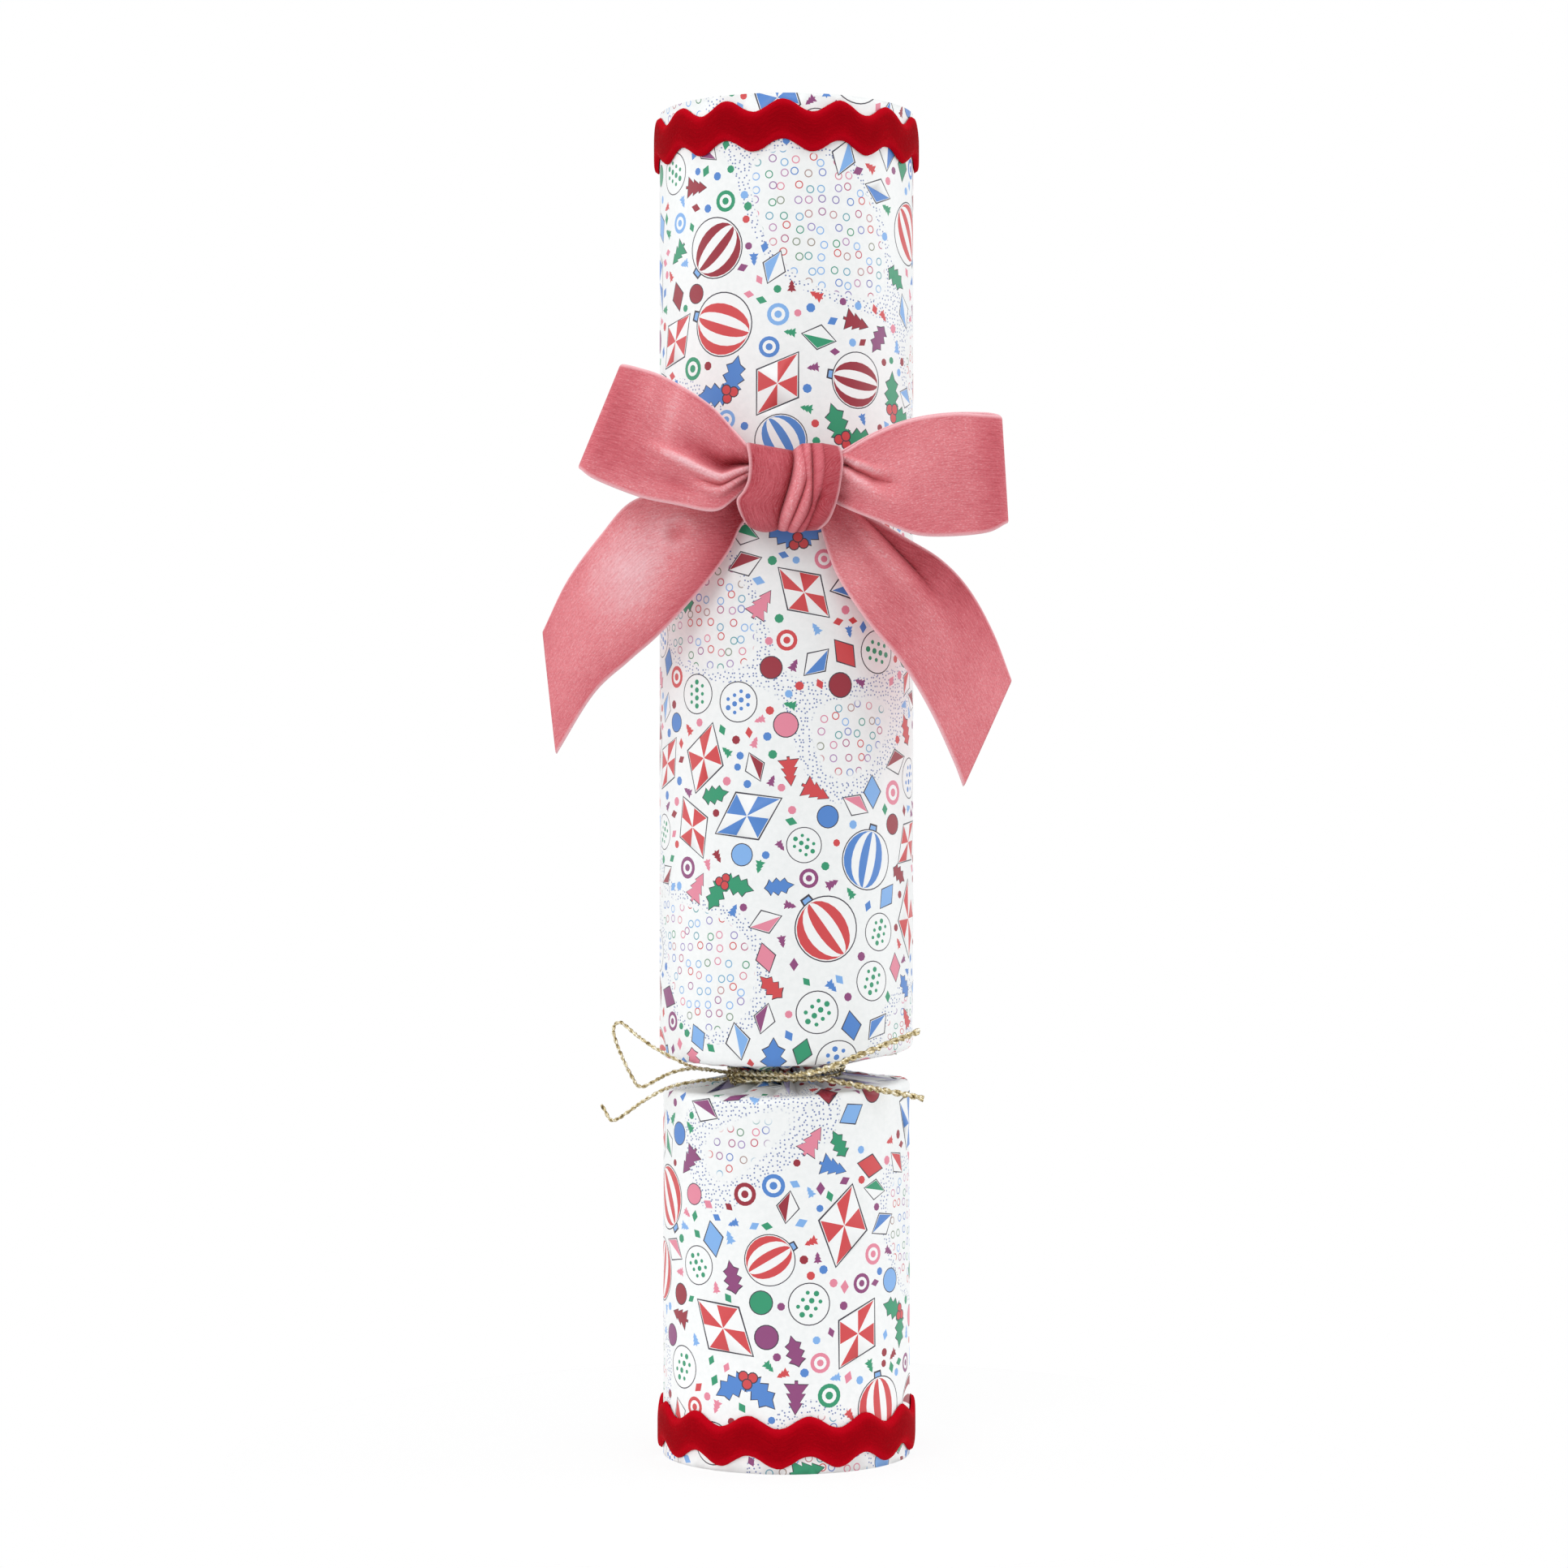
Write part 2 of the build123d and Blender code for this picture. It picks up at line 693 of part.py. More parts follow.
with BuildPart() as lower_snap_strip:
    with BuildSketch(Plane.YZ):
        with BuildLine():
            FilletPolyline(
                (lower_strip_wall_y, strip_rim_inset),
                (lower_strip_wall_y, strip_rim_inset + strip_glue_length),
                (-strip_layer, lower_neck_z - lower_setback),
                (-strip_layer, lower_strip_tip),
                radius=strip_bend_radius,
            )
        trace(line_width=strip_wall)
    extrude(amount=strip_width / 2, both=True)
save(lower_snap_strip, "lower_snap_strip")

# Rough pad and powder pad, face to face in the overlap, under a paper sleeve
with BuildPart() as snap_abrasive_pad:
    with BuildSketch(Plane.XZ.offset(-pad_gap / 2 - pad_wall)):
        with Locations((0, barrel_middle_z)):
            Rectangle(pad_width, pad_length)
    extrude(amount=pad_wall)
save(snap_abrasive_pad, "snap_abrasive_pad")

with BuildPart() as snap_powder_pad:
    with BuildSketch(Plane.XZ.offset(pad_gap / 2)):
        with Locations((0, barrel_middle_z)):
            Rectangle(pad_width, pad_length)
    extrude(amount=pad_wall)
save(snap_powder_pad, "snap_powder_pad")

sleeve_half_depth = strip_layer + strip_wall / 2
with BuildPart() as snap_sleeve:
    with BuildSketch(Plane.XY.offset(barrel_middle_z - snap_sleeve_length / 2)):
        with Locations((0, pad_gap / 2)):
            Rectangle(
                strip_width + 2 * pad_gap + 2 * snap_sleeve_wall,
                2 * sleeve_half_depth + pad_gap + 2 * snap_sleeve_wall,
            )
            Rectangle(strip_width + 2 * pad_gap, 2 * sleeve_half_depth + pad_gap, mode=Mode.SUBTRACT)
    extrude(amount=snap_sleeve_length)
save(snap_sleeve, "snap_sleeve")

# Loose contents, standing on the barrel's lower shoulder
floor_z = barrel_low + wrap_wall + soft_gap
contents_reach = gather_radius(barrel_radius) - wrap_wall
crown_radius = (contents_reach - sleeve_half_depth - snap_sleeve_wall - crown_clearance) / 2
crown_place = Plane(origin=(0, crown_radius - contents_reach, floor_z))
with BuildPart() as paper_crown:
    roll(crown_place, crown_radius, crown_layer, crown_layer_pitch, crown_half_turns, crown_height)
    point_width = 2 * crown_radius / crown_point_count
    with BuildSketch(Plane.XZ.offset(contents_reach + overcut)):
        for i in range(crown_point_count + 1):
            notch_x = (i - crown_point_count / 2) * point_width
            top_z = floor_z + crown_height
            with BuildLine():
                Polyline(
                    (notch_x, top_z - crown_point_depth),
                    (notch_x + point_width / 2, top_z),
                    (notch_x, top_z + overcut),
                    (notch_x - point_width / 2, top_z),
                    close=True,
                )
            make_face()
    extrude(amount=-2 * crown_radius - 2 * overcut, mode=Mode.SUBTRACT)
save(paper_crown, "paper_crown")

motto_place = Plane(origin=(contents_reach - motto_radius, 0, floor_z))
with BuildPart() as motto_slip:
    roll(motto_place, motto_radius, motto_layer, motto_layer_pitch, motto_half_turns, motto_height)
save(motto_slip, "motto_slip")

skittle_place = Plane(origin=(0, contents_reach - skittle_radius, floor_z), x_dir=(1, 0, 0), z_dir=(0, -1, 0))
with BuildPart() as wooden_skittle:
    head_z = skittle_height - skittle_head_radius
    with BuildSketch(skittle_place):
        with BuildLine():
            belly = ThreePointArc(
                (skittle_base_radius, 0),
                (skittle_radius, skittle_belly_height),
                (skittle_neck_radius, skittle_neck_height),
            )
            head = CenterArc((0, head_z), skittle_head_radius, skittle_head_start, 90.0 - skittle_head_start)
            Line(belly @ 1, head @ 0)
            Polyline(head @ 1, (0, 0), belly @ 0)
        make_face()
    revolve(axis=Axis(skittle_place.origin, (0, 0, 1)))
save(wooden_skittle, "wooden_skittle")
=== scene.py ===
"""Looks of a christmas cracker: printed paper, velvet bow and braid, gold cord and its contents.

Shapes are worked out in millimetres in the part's own frame and written to meshes in metres.
"""

import math
import random

import bpy
import numpy as np
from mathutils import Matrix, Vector
from mathutils.geometry import delaunay_2d_cdt


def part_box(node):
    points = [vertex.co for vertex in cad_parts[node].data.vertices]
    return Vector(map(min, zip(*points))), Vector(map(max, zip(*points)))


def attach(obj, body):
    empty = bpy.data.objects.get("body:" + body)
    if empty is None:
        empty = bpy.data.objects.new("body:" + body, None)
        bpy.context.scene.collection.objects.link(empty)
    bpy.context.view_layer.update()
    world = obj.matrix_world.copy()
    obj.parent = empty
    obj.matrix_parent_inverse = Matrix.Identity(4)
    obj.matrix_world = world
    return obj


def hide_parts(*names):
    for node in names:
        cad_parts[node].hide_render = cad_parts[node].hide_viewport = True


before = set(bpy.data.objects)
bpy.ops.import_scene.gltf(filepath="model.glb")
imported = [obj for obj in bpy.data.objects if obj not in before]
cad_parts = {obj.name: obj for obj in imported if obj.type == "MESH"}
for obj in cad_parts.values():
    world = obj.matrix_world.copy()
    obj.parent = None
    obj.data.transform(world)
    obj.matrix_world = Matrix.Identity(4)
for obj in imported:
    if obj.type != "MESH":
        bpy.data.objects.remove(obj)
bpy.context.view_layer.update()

MM = 0.001
FULL_TURN = 2 * math.pi

# Sizes read from the frame
barrel_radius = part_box("barrel_wrap")[1].x / MM
lower_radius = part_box("lower_end_wrap")[1].x / MM
lower_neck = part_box("barrel_wrap")[0].z / MM
upper_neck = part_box("barrel_wrap")[1].z / MM
barrel_middle = (lower_neck + upper_neck) / 2
top_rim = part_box("upper_end_wrap")[1].z / MM

# Camera
photo_pixels = 1932
focal_pixels = 4382
sensor_width = 36.0
camera_place = (-0.55, -800.0, 150.0)

# Light and floor, in metres: each lamp has a name, place, size and power
lamps = [
    ("key", (-0.7, -1.4, 1.0), 0.8, 7.6),
    ("left side", (-1.5, 0.2, 0.5), 1.2, 4.6),
    ("right side", (1.5, 0.2, 0.5), 1.2, 7.0),
    ("top", (0.2, -0.5, 1.7), 1.0, 5.0),
]
lamp_aim = (0.0, 0.0, 0.15)
ambient = 0.72
floor_radius = 0.125
floor_clearness = 0.9

# Paper
paper_wall = 0.3
lap_width = 12.0
lap_rise = 0.2
lap_ease = 5.0
land_width = 1.0
waist_radius = 12.0
pleat_seed = 7
pleat_count = 18
pleat_depth = 3.5
pleat_hollow = 1.3
crumple_depth = 0.18
tear_gap = 0.1
tear_teeth = 40
tear_tooth = 0.3
tear_reach = 0.5
barrel_collar = -1.2
lower_collar = 2.0
knot_angle = math.radians(217.0)
gathered_step = 0.55
plain_step = 3.0

# Gathered necks: height, setback of the shoulder, half the waist's height and rounding of the shoulder
lower_gather = (lower_neck, 3.3, 2.2, 1.8)
upper_gather = (upper_neck, 4.5, 2.6, 2.0)

# Print: slow waves that group it, each with a length and a start, and the seed of the tossed shapes
zone_waves = ((10.0, 0.6), (14.0, 0.9), (20.0, 0.3))
zone_cross = 1.2
zone_slant = 1.7
print_seed = 26

# Ribbon
ribbon_width = 0.025
ribbon_wall = 0.9
gathered_wall = 0.7
selvedge = 0.6
edge_share = 0.3
loop_middle_y = -(barrel_radius + 8.5)
tail_y = -(barrel_radius + 1.6)
knot_middle_y = -(barrel_radius + 8.6)
knot_half_depth = 5.6
knot_back_depth = 5.2

# Braid
braid_wall = 1.1
braid_half_band = 4.35
braid_sway = 1.35
braid_edge = 0.12
braid_lift = 0.02
braid_gap = 0.3

# Cord: diameter and length of one twist
thin_cord = (0.8, 2.9)
thick_cord = (1.4, 4.2)
winding_cord = (1.0, 2.8)
knot_cord = (0.95, 2.0)


# Small tools

def srgb(red, green, blue):
    """Linear colour of 8-bit sRGB values."""
    linear = []
    for value in (red / 255, green / 255, blue / 255):
        linear.append(value / 12.92 if value <= 0.04045 else ((value + 0.055) / 1.055) ** 2.4)
    return (*linear, 1.0)


def smooth(value):
    """Eased step from 0 to 1."""
    value = np.clip(value, 0.0, 1.0)
    return value * value * (3.0 - 2.0 * value)


def bump(value, middle, width):
    """Bell curve of height 1."""
    return np.exp(-((value - middle) / width) ** 2)


def points_of(x, y, z):
    """Points from three coordinates, each of which may run along one side of a grid only."""
    return np.stack(np.broadcast_arrays(x, y, z), axis=-1)


def round_points(reach, theta, height):
    """Points round the axis, from coordinates as above."""
    return points_of(reach * np.cos(theta), reach * np.sin(theta), height)


def run_along(points):
    """Distance of each point along a line from its start."""
    return np.concatenate([[0.0], np.cumsum(np.linalg.norm(np.diff(points, axis=0), axis=1))])


def at_marks(marks, run, points):
    """Points of a line at marks of its run."""
    return np.stack([np.interp(marks, run, points[:, k]) for k in range(points.shape[1])], axis=1)


def curve_through(points, shares):
    """Points of a smooth curve through given points, at shares of its length."""
    points = np.array(points, float)
    padded = np.vstack([2 * points[0] - points[1], points, 2 * points[-1] - points[-2]])
    t = np.linspace(0.0, 1.0, 24, endpoint=False)[:, None]
    fine = []
    for a, b, c, d in zip(padded, padded[1:], padded[2:], padded[3:]):
        bend = (2 * a - 5 * b + 4 * c - d) * t**2 + (3 * b - 3 * c + d - a) * t**3
        fine.append(0.5 * (2 * b + (c - a) * t + bend))
    fine = np.vstack(fine + [points[-1:]])
    run = run_along(fine)
    return at_marks(np.array(shares) * run[-1], run, fine)


def make_piece(name, vertices, faces, material, body, replaced=()):
    """Mesh object of millimetre vertices that rides on a body."""
    mesh = bpy.data.meshes.new(name)
    mesh.from_pydata([tuple(v) for v in np.array(vertices) * MM], [], [tuple(f) for f in faces])
    mesh.validate()
    mesh.update()
    mesh.polygons.foreach_set("use_smooth", [True] * len(mesh.polygons))
    piece = bpy.data.objects.new(name, mesh)
    bpy.context.scene.collection.objects.link(piece)
    mesh.materials.append(material)
    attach(piece, body)
    if replaced:
        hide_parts(*replaced)
    return piece


def point_places(piece, name, across, up):
    """Attribute that holds each point's place on a flat sheet."""
    places = np.stack([across, up, np.zeros_like(across)], axis=1).astype(np.float32)
    attribute = piece.data.attributes.new(name, "FLOAT_VECTOR", "POINT")
    attribute.data.foreach_set("vector", places.ravel())


def cloth_values(piece, to_edge, painted_light, along, across):
    """What a cloth's material reads on both sides: distance to the edge, painted light and shade, and place.
    """
    grids = np.broadcast_arrays(to_edge, painted_light, along, across)
    to_edge, painted_light, along, across = [np.tile(grid.reshape(-1), 2) for grid in grids]
    for name, values in (("to_edge", to_edge), ("painted_light", painted_light)):
        attribute = piece.data.attributes.new(name, "FLOAT", "POINT")
        attribute.data.foreach_set("value", values.astype(np.float32))
    point_places(piece, "cloth", along, across)


def strip_faces(rows, columns):
    """Quads of a closed strip: a grid of front points row by row, as many back points, and the four edges."""
    count = rows * columns
    front = []
    for i in range(rows - 1):
        for j in range(i * columns, i * columns + columns - 1):
            front.append((j, j + 1, j + 1 + columns, j + columns))
    back = [tuple(corner + count for corner in quad[::-1]) for quad in front]
    edges = []
    for left in range(0, count - columns, columns):
        right = left + columns - 1
        edges.append((left, left + columns, left + columns + count, left + count))
        edges.append((right + columns, right, right + count, right + columns + count))
    for first in range(columns - 1):
        last = count - columns + first
        edges.append((first + 1, first, first + count, first + 1 + count))
        edges.append((last, last + 1, last + 1 + count, last + count))
    return front + back + edges


def thick_sheet(name, grid, thickness, material, body, replaced=(), edge_width=selvedge, painted_light=0.5):
    """Closed strip of cloth round a grid of middle points, thinned at its two long edges."""
    rows, columns = grid.shape[:2]
    normal = np.cross(np.gradient(grid, axis=0), np.gradient(grid, axis=1))
    normal /= np.maximum(np.linalg.norm(normal, axis=2, keepdims=True), 1e-9)
    steps = np.linalg.norm(np.diff(grid, axis=1), axis=2)
    run = np.concatenate([np.zeros((rows, 1)), np.cumsum(steps, axis=1)], axis=1)
    to_edge = np.minimum(run, run[:, -1:] - run)
    inset = 1.0 - np.clip(to_edge / edge_width, 0.0, 1.0)
    half = thickness / 2 * np.sqrt(np.clip(1.0 - inset**2, edge_share**2, 1.0))[:, :, None]
    vertices = np.vstack([(grid + normal * half).reshape(-1, 3), (grid - normal * half).reshape(-1, 3)])
    piece = make_piece(name, vertices, strip_faces(rows, columns), material, body, replaced)
    along = run_along(grid[:, columns // 2])[:, None]
    cloth_values(piece, to_edge, np.clip(painted_light, 0.0, 1.0), along, run)
    return piece


class Look:
    """Nodes of a material or world; a call that adds one gives back its output."""

    def __init__(self, owner):
        owner.use_nodes = True
        self.owner = owner
        self.tree = owner.node_tree
        self.shader = self.tree.nodes.get("Principled BSDF")

    def node(self, kind, **settings):
        """New node itself; a setting whose name is an input's sets that input."""
        node = self.tree.nodes.new("ShaderNode" + kind)
        for key, value in settings.items():
            if key in node.inputs:
                node.inputs[key].default_value = value
            else:
                setattr(node, key, value)
        return node

    def feed(self, socket, value):
        """Links an output to a socket, or sets the socket to a plain value."""
        if isinstance(value, bpy.types.NodeSocket):
            self.tree.links.new(value, socket)
        else:
            socket.default_value = value

    def set(self, inputs):
        """Feeds inputs of the Principled shader."""
        for name, value in inputs.items():
            self.feed(self.shader.inputs[name], value)

    def attribute(self, name):
        """Outputs of a mesh attribute."""
        return self.node("Attribute", attribute_name=name).outputs

    def noise(self, scale, detail, place=None):
        """Noise, by default on the object's own coordinates with scale in features per metre."""
        noise = self.node("TexNoise", Scale=scale, Detail=detail)
        if place is None:
            place = self.node("TexCoord").outputs["Object"]
        self.feed(noise.inputs["Vector"], place)
        return noise.outputs["Fac"]

    def stretched_noise(self, place, scale, detail):
        """Noise on a place that is scaled along each axis."""
        mapping = self.node("Mapping", Scale=scale)
        self.feed(mapping.inputs["Vector"], place)
        return self.noise(1.0, detail, mapping.outputs["Vector"])

    def cells(self, place, scale, randomness):
        """Outputs of a flat cell pattern."""
        cells = self.node("TexVoronoi", voronoi_dimensions="2D", Scale=scale, Randomness=randomness)
        self.feed(cells.inputs["Vector"], place)
        return cells.outputs

    def ramp(self, value, low, high, *stops):
        """Colour ramp with even stops over a stretch of a value."""
        ramp = self.node("ValToRGB")
        elements = ramp.color_ramp.elements
        while len(elements) < len(stops):
            elements.new(0.5)
        for i, (element, colour) in enumerate(zip(elements, stops)):
            element.position = low + (high - low) * i / (len(stops) - 1)
            element.color = colour
        self.feed(ramp.inputs["Fac"], value)
        return ramp.outputs["Color"]

    def span(self, value, low, high, out_low=0.0, out_high=1.0):
        """Clamped change of range."""
        span = self.node("MapRange")
        limits = {"From Min": low, "From Max": high, "To Min": out_low, "To Max": out_high}
        for name, source in {"Value": value, **limits}.items():
            self.feed(span.inputs[name], source)
        return span.outputs["Result"]

    def maths(self, operation, first, second=0.0):
        """Maths on two outputs or numbers."""
        node = self.node("Math", operation=operation)
        self.feed(node.inputs[0], first)
        self.feed(node.inputs[1], second)
        return node.outputs["Value"]

    def mix(self, share, first, second):
        """Mix of two colours."""
        node = self.node("Mix", data_type="RGBA")
        for index, value in ((0, share), (6, first), (7, second)):
            self.feed(node.inputs[index], value)
        return node.outputs[2]

    def bump(self, height, strength, distance):
        """Bump on the shader's normal; distance is in metres."""
        node = self.node("Bump", Strength=strength, Distance=distance)
        self.feed(node.inputs["Height"], height)
        self.set({"Normal": node.outputs["Normal"]})

    def seen(self):
        """1 for rays from the camera, in reflections and through glass, 0 for others."""
        path = self.node("LightPath").outputs
        mirrored = self.maths("MAXIMUM", path["Is Camera Ray"], path["Is Glossy Ray"])
        return self.maths("MAXIMUM", mirrored, path["Is Transmission Ray"])


# Materials

inks = {
    "paper": (1.0, 1.0, 1.0, 0.0),
    "white": srgb(243, 245, 245),
    "outline": srgb(58, 54, 66),
    "red": srgb(207, 70, 74),
    "maroon": srgb(150, 38, 54),
    "pink": srgb(226, 134, 156),
    "plum": srgb(140, 68, 120),
    "blue": srgb(80, 132, 204),
    "sky": srgb(128, 176, 232),
    "green": srgb(44, 148, 108),
    # The paper's reverse on the turned-back slivers, painted lighter than the reverse side as painted light,
    # so that the slivers look lit where the neck is in shade
    "lilac": srgb(196, 190, 228),
    "dots": srgb(112, 128, 176),
}


def zone_value(u, v):
    """Slow wave over the flat sheet that groups the print: large shapes where it is high."""
    (a, a0), (b, b0), (c, c0) = zone_waves
    return zone_cross * math.sin(u / a + a0) * math.sin(v / b + b0) + math.sin((u + zone_slant * v) / c + c0)


def zone_nodes(look, sheet):
    """The same slow wave as shader nodes."""
    parts = look.node("SeparateXYZ")
    look.feed(parts.inputs[0], sheet)
    u, v = parts.outputs["X"], parts.outputs["Y"]
    slant = look.maths("ADD", u, look.maths("MULTIPLY", v, zone_slant))
    waves = []
    for place, (length, start) in zip((u, v, slant), zone_waves):
        waves.append(look.maths("SINE", look.maths("ADD", look.maths("DIVIDE", place, length), start)))
    crossed = look.maths("MULTIPLY", look.maths("MULTIPLY", waves[0], waves[1]), zone_cross)
    return look.maths("ADD", crossed, waves[2])


def printed_paper():
    """White satin paper; the inked shapes come from its mesh and fine dots and rings from nodes."""
    look = Look(bpy.data.materials.new("printed_paper"))
    sheet = look.attribute("sheet")["Vector"]
    ink = look.attribute("ink")
    grain = look.noise(900.0, 3.0)
    bare = look.ramp(grain, 0.3, 0.7, srgb(238, 241, 241), srgb(244, 246, 246))
    zone = zone_nodes(look, sheet)
    rings = look.cells(sheet, 0.34, 0.5)
    off_ring = look.maths("ABSOLUTE", look.maths("SUBTRACT", rings["Distance"], 0.26))
    ring_share = look.maths("MULTIPLY", look.span(off_ring, 0.05, 0.03), look.span(zone, -0.96, -1.0))
    ring_inks = [inks[name] for name in ("sky", "green", "pink", "blue", "red")]
    ringed = look.mix(ring_share, bare, look.ramp(rings["Color"], 0.2, 0.8, *ring_inks))
    dots = look.cells(sheet, 1.05, 0.75)
    dot_zone = look.maths("MULTIPLY", look.span(zone, -0.94, -0.9), look.span(zone, -0.58, -0.62))
    dot_share = look.maths("MULTIPLY", look.span(dots["Distance"], 0.23, 0.16), dot_zone)
    dotted = look.mix(dot_share, ringed, inks["dots"])
    look.set({
        "Base Color": look.mix(ink["Alpha"], dotted, ink["Color"]),
        "Roughness": look.span(grain, 0.2, 0.8, 0.36, 0.46),
        "Specular IOR Level": 0.45,
    })
    look.bump(look.noise(260.0, 4.0), 0.12, 0.0004)
    return look.owner


def plain_sheet(name, dark, light, grain_scale, roughness):
    """Paper or card with a soft mottle and fibres."""
    look = Look(bpy.data.materials.new(name))
    mottle = look.noise(grain_scale, 6.0)
    fibres = look.noise(grain_scale * 6, 3.0)
    colour = look.ramp(mottle, 0.32, 0.68, srgb(*dark), srgb(*light))
    look.set({
        "Base Color": look.mix(look.span(fibres, 0.62, 0.75, 0.0, 0.35), colour, srgb(*dark)),
        "Roughness": look.span(mottle, 0.3, 0.7, roughness - 0.06, roughness + 0.06),
    })
    look.bump(fibres, 0.2, 0.0003)
    return look.owner


def velvet(name, shades, edge, edge_reach, sheen_tint, sheen):
    """Short pile in shades from painted shade to painted highlight, brushed along the ribbon, with painted
    glints and a painted highlight along its edge.
    """
    look = Look(bpy.data.materials.new(name))
    deep, middle, light, highlight = [srgb(*shade) for shade in shades]
    cloth = look.attribute("cloth")["Vector"]
    pile = look.noise(2200.0, 2.0)
    glint_noise = look.stretched_noise(cloth, (1.7, 6.0, 1.0), 1.0)
    brushed = look.stretched_noise(cloth, (0.35, 3.2, 1.0), 3.0)
    cloudy = look.span(look.noise(90.0, 2.0), 0.3, 0.7, -0.06, 0.06)
    # Painted shade and painted highlight carried by a mesh attribute, plus a random mottle and brushed
    # streaks
    painted_light_and_mottle = look.maths("ADD", look.attribute("painted_light")["Fac"], cloudy)
    level = look.maths("ADD", painted_light_and_mottle, look.span(brushed, 0.3, 0.7, -0.1, 0.1))
    # Ramp from the darkest painted shade through the cloth's own colour to a painted highlight
    ground = look.ramp(level, 0.0, 1.0, deep, middle, light, highlight)
    tufted = look.mix(look.span(pile, 0.35, 0.7, 0.0, 0.16), ground, deep)
    # Painted glints: bright specks, strongest where the painted light is high
    lit = look.span(level, 0.35, 0.9, 0.12, 1.0)
    glint = look.maths("MULTIPLY", look.span(glint_noise, 0.54, 0.68, 0.0, 0.9), lit)
    # Painted highlight along the cloth's edge, where its fuzz would catch the light
    rim = look.span(look.attribute("to_edge")["Fac"], edge_reach, 0.1, 0.0, 0.85)
    look.set({
        "Base Color": look.mix(rim, look.mix(glint, tufted, highlight), srgb(*edge)),
        "Roughness": 0.8,
        "Specular IOR Level": 0.03,
        "Sheen Weight": sheen,
        "Sheen Roughness": 0.35,
        "Sheen Tint": sheen_tint,
    })
    look.bump(pile, 0.5, 0.0004)
    return look.owner


def gold_thread():
    """Metallic plies speckled with painted glints and painted shade for the gaps between their filaments."""
    look = Look(bpy.data.materials.new("gold_thread"))
    glint = look.noise(1300.0, 4.0)
    shades = [srgb(104, 86, 52), srgb(188, 172, 128), srgb(246, 240, 220)]
    look.set({
        "Base Color": look.ramp(glint, 0.3, 0.66, *shades),
        "Roughness": look.span(glint, 0.3, 0.7, 0.45, 0.2),
        "Metallic": 0.85,
    })
    look.bump(glint, 0.7, 0.0004)
    return look.owner


def turned_wood():
    """Beech with growth bands and short dark flecks."""
    look = Look(bpy.data.materials.new("turned_beech"))
    bands = look.node("TexWave", Scale=120.0, Distortion=6.0, Detail=3.0)
    look.feed(bands.inputs["Vector"], look.node("TexCoord").outputs["Object"])
    flecks = look.noise(1800.0, 2.0)
    colour = look.ramp(bands.outputs["Fac"], 0.0, 1.0, srgb(196, 152, 104), srgb(224, 186, 138))
    look.set({
        "Base Color": look.mix(look.span(flecks, 0.62, 0.75, 0.0, 0.5), colour, srgb(150, 104, 64)),
        "Roughness": look.span(flecks, 0.3, 0.7, 0.38, 0.5),
    })
    look.bump(flecks, 0.15, 0.0003)
    return look.owner


paper_material = printed_paper()
reverse_material = plain_sheet("paper_reverse", (150, 144, 182), (166, 160, 196), 500.0, 0.6)
# Each velvet: shades from painted shade through the cloth's own colour to painted highlight, the colour of
# the painted highlight at its edge and that highlight's reach, sheen tint and sheen
rose_velvet = velvet(
    "rose_velvet", [(156, 48, 58), (208, 104, 114), (236, 142, 149), (250, 200, 206)],
    (248, 198, 204), 0.9, (1.0, 0.72, 0.74, 1.0), 0.3,
)
red_velvet = velvet(
    "red_velvet", [(122, 0, 8), (152, 0, 14), (176, 0, 18), (200, 2, 22)],
    (190, 4, 26), 1.8, (1.0, 0.02, 0.05, 1.0), 0.02,
)
gold_material = gold_thread()


# Print: tossed baubles, lozenges, holly and trees, set out in millimetres on the flat sheet

def ring_points(radius, count, across=0.0, up=0.0):
    """Corners of a round shape."""
    turns = np.linspace(0.0, FULL_TURN, count, endpoint=False)
    return np.stack([across + radius * np.cos(turns), up + radius * np.sin(turns)], axis=1)


def lozenge_points(half_width, half_height):
    """Corners of a lozenge."""
    return np.array([(half_width, 0.0), (0.0, half_height), (-half_width, 0.0), (0.0, -half_height)])


def leaf_points(half_width, half_length):
    """Outline of a holly leaf with three prickles a side."""
    outs = (0.0, 0.42, 1.0, 0.55, 1.08, 0.58, 0.95, 0.4, 0.0)
    ups = (-1.0, -0.78, -0.6, -0.42, -0.12, 0.1, 0.42, 0.58, 1.0)
    side = [(out * half_width, up * half_length) for out, up in zip(outs, ups)]
    return np.array(side + [(-x, y) for x, y in side[-2:0:-1]])


def tree_points(half_width, half_height):
    """Outline of a fir tree in three tiers."""
    outs = (0.14, 0.14, 1.0, 0.45, 0.78, 0.32, 0.56, 0.0)
    ups = (-1.0, -0.8, -0.8, -0.25, -0.25, 0.3, 0.3, 1.0)
    side = [(out * half_width, up * half_height) for out, up in zip(outs, ups)]
    return np.array(side + [(-x, y) for x, y in side[-2::-1]])


def grown(points, margin):
    """Outline drawn a margin outside a shape round its middle."""
    reach = np.abs(points).max(axis=0)
    return points * (reach + margin) / reach


def spin(turn):
    """Matrix that turns points on the flat sheet."""
    c, s = math.cos(turn), math.sin(turn)
    return np.array([[c, s], [-s, c]])


def faceted_lozenge(ink):
    """Large lozenge cut into eight facets, every other one inked."""
    corners = lozenge_points(5.4, 8.2)
    parts = [(grown(corners, 0.42), "outline"), (corners, "white")]
    for corner, following in zip(corners, np.roll(corners, -1, axis=0)):
        half_way = (corner + following) / 2
        parts.append((np.array([corner * 0.97, half_way * 0.97, half_way * 0.03, corner * 0.03]), ink))
    return parts


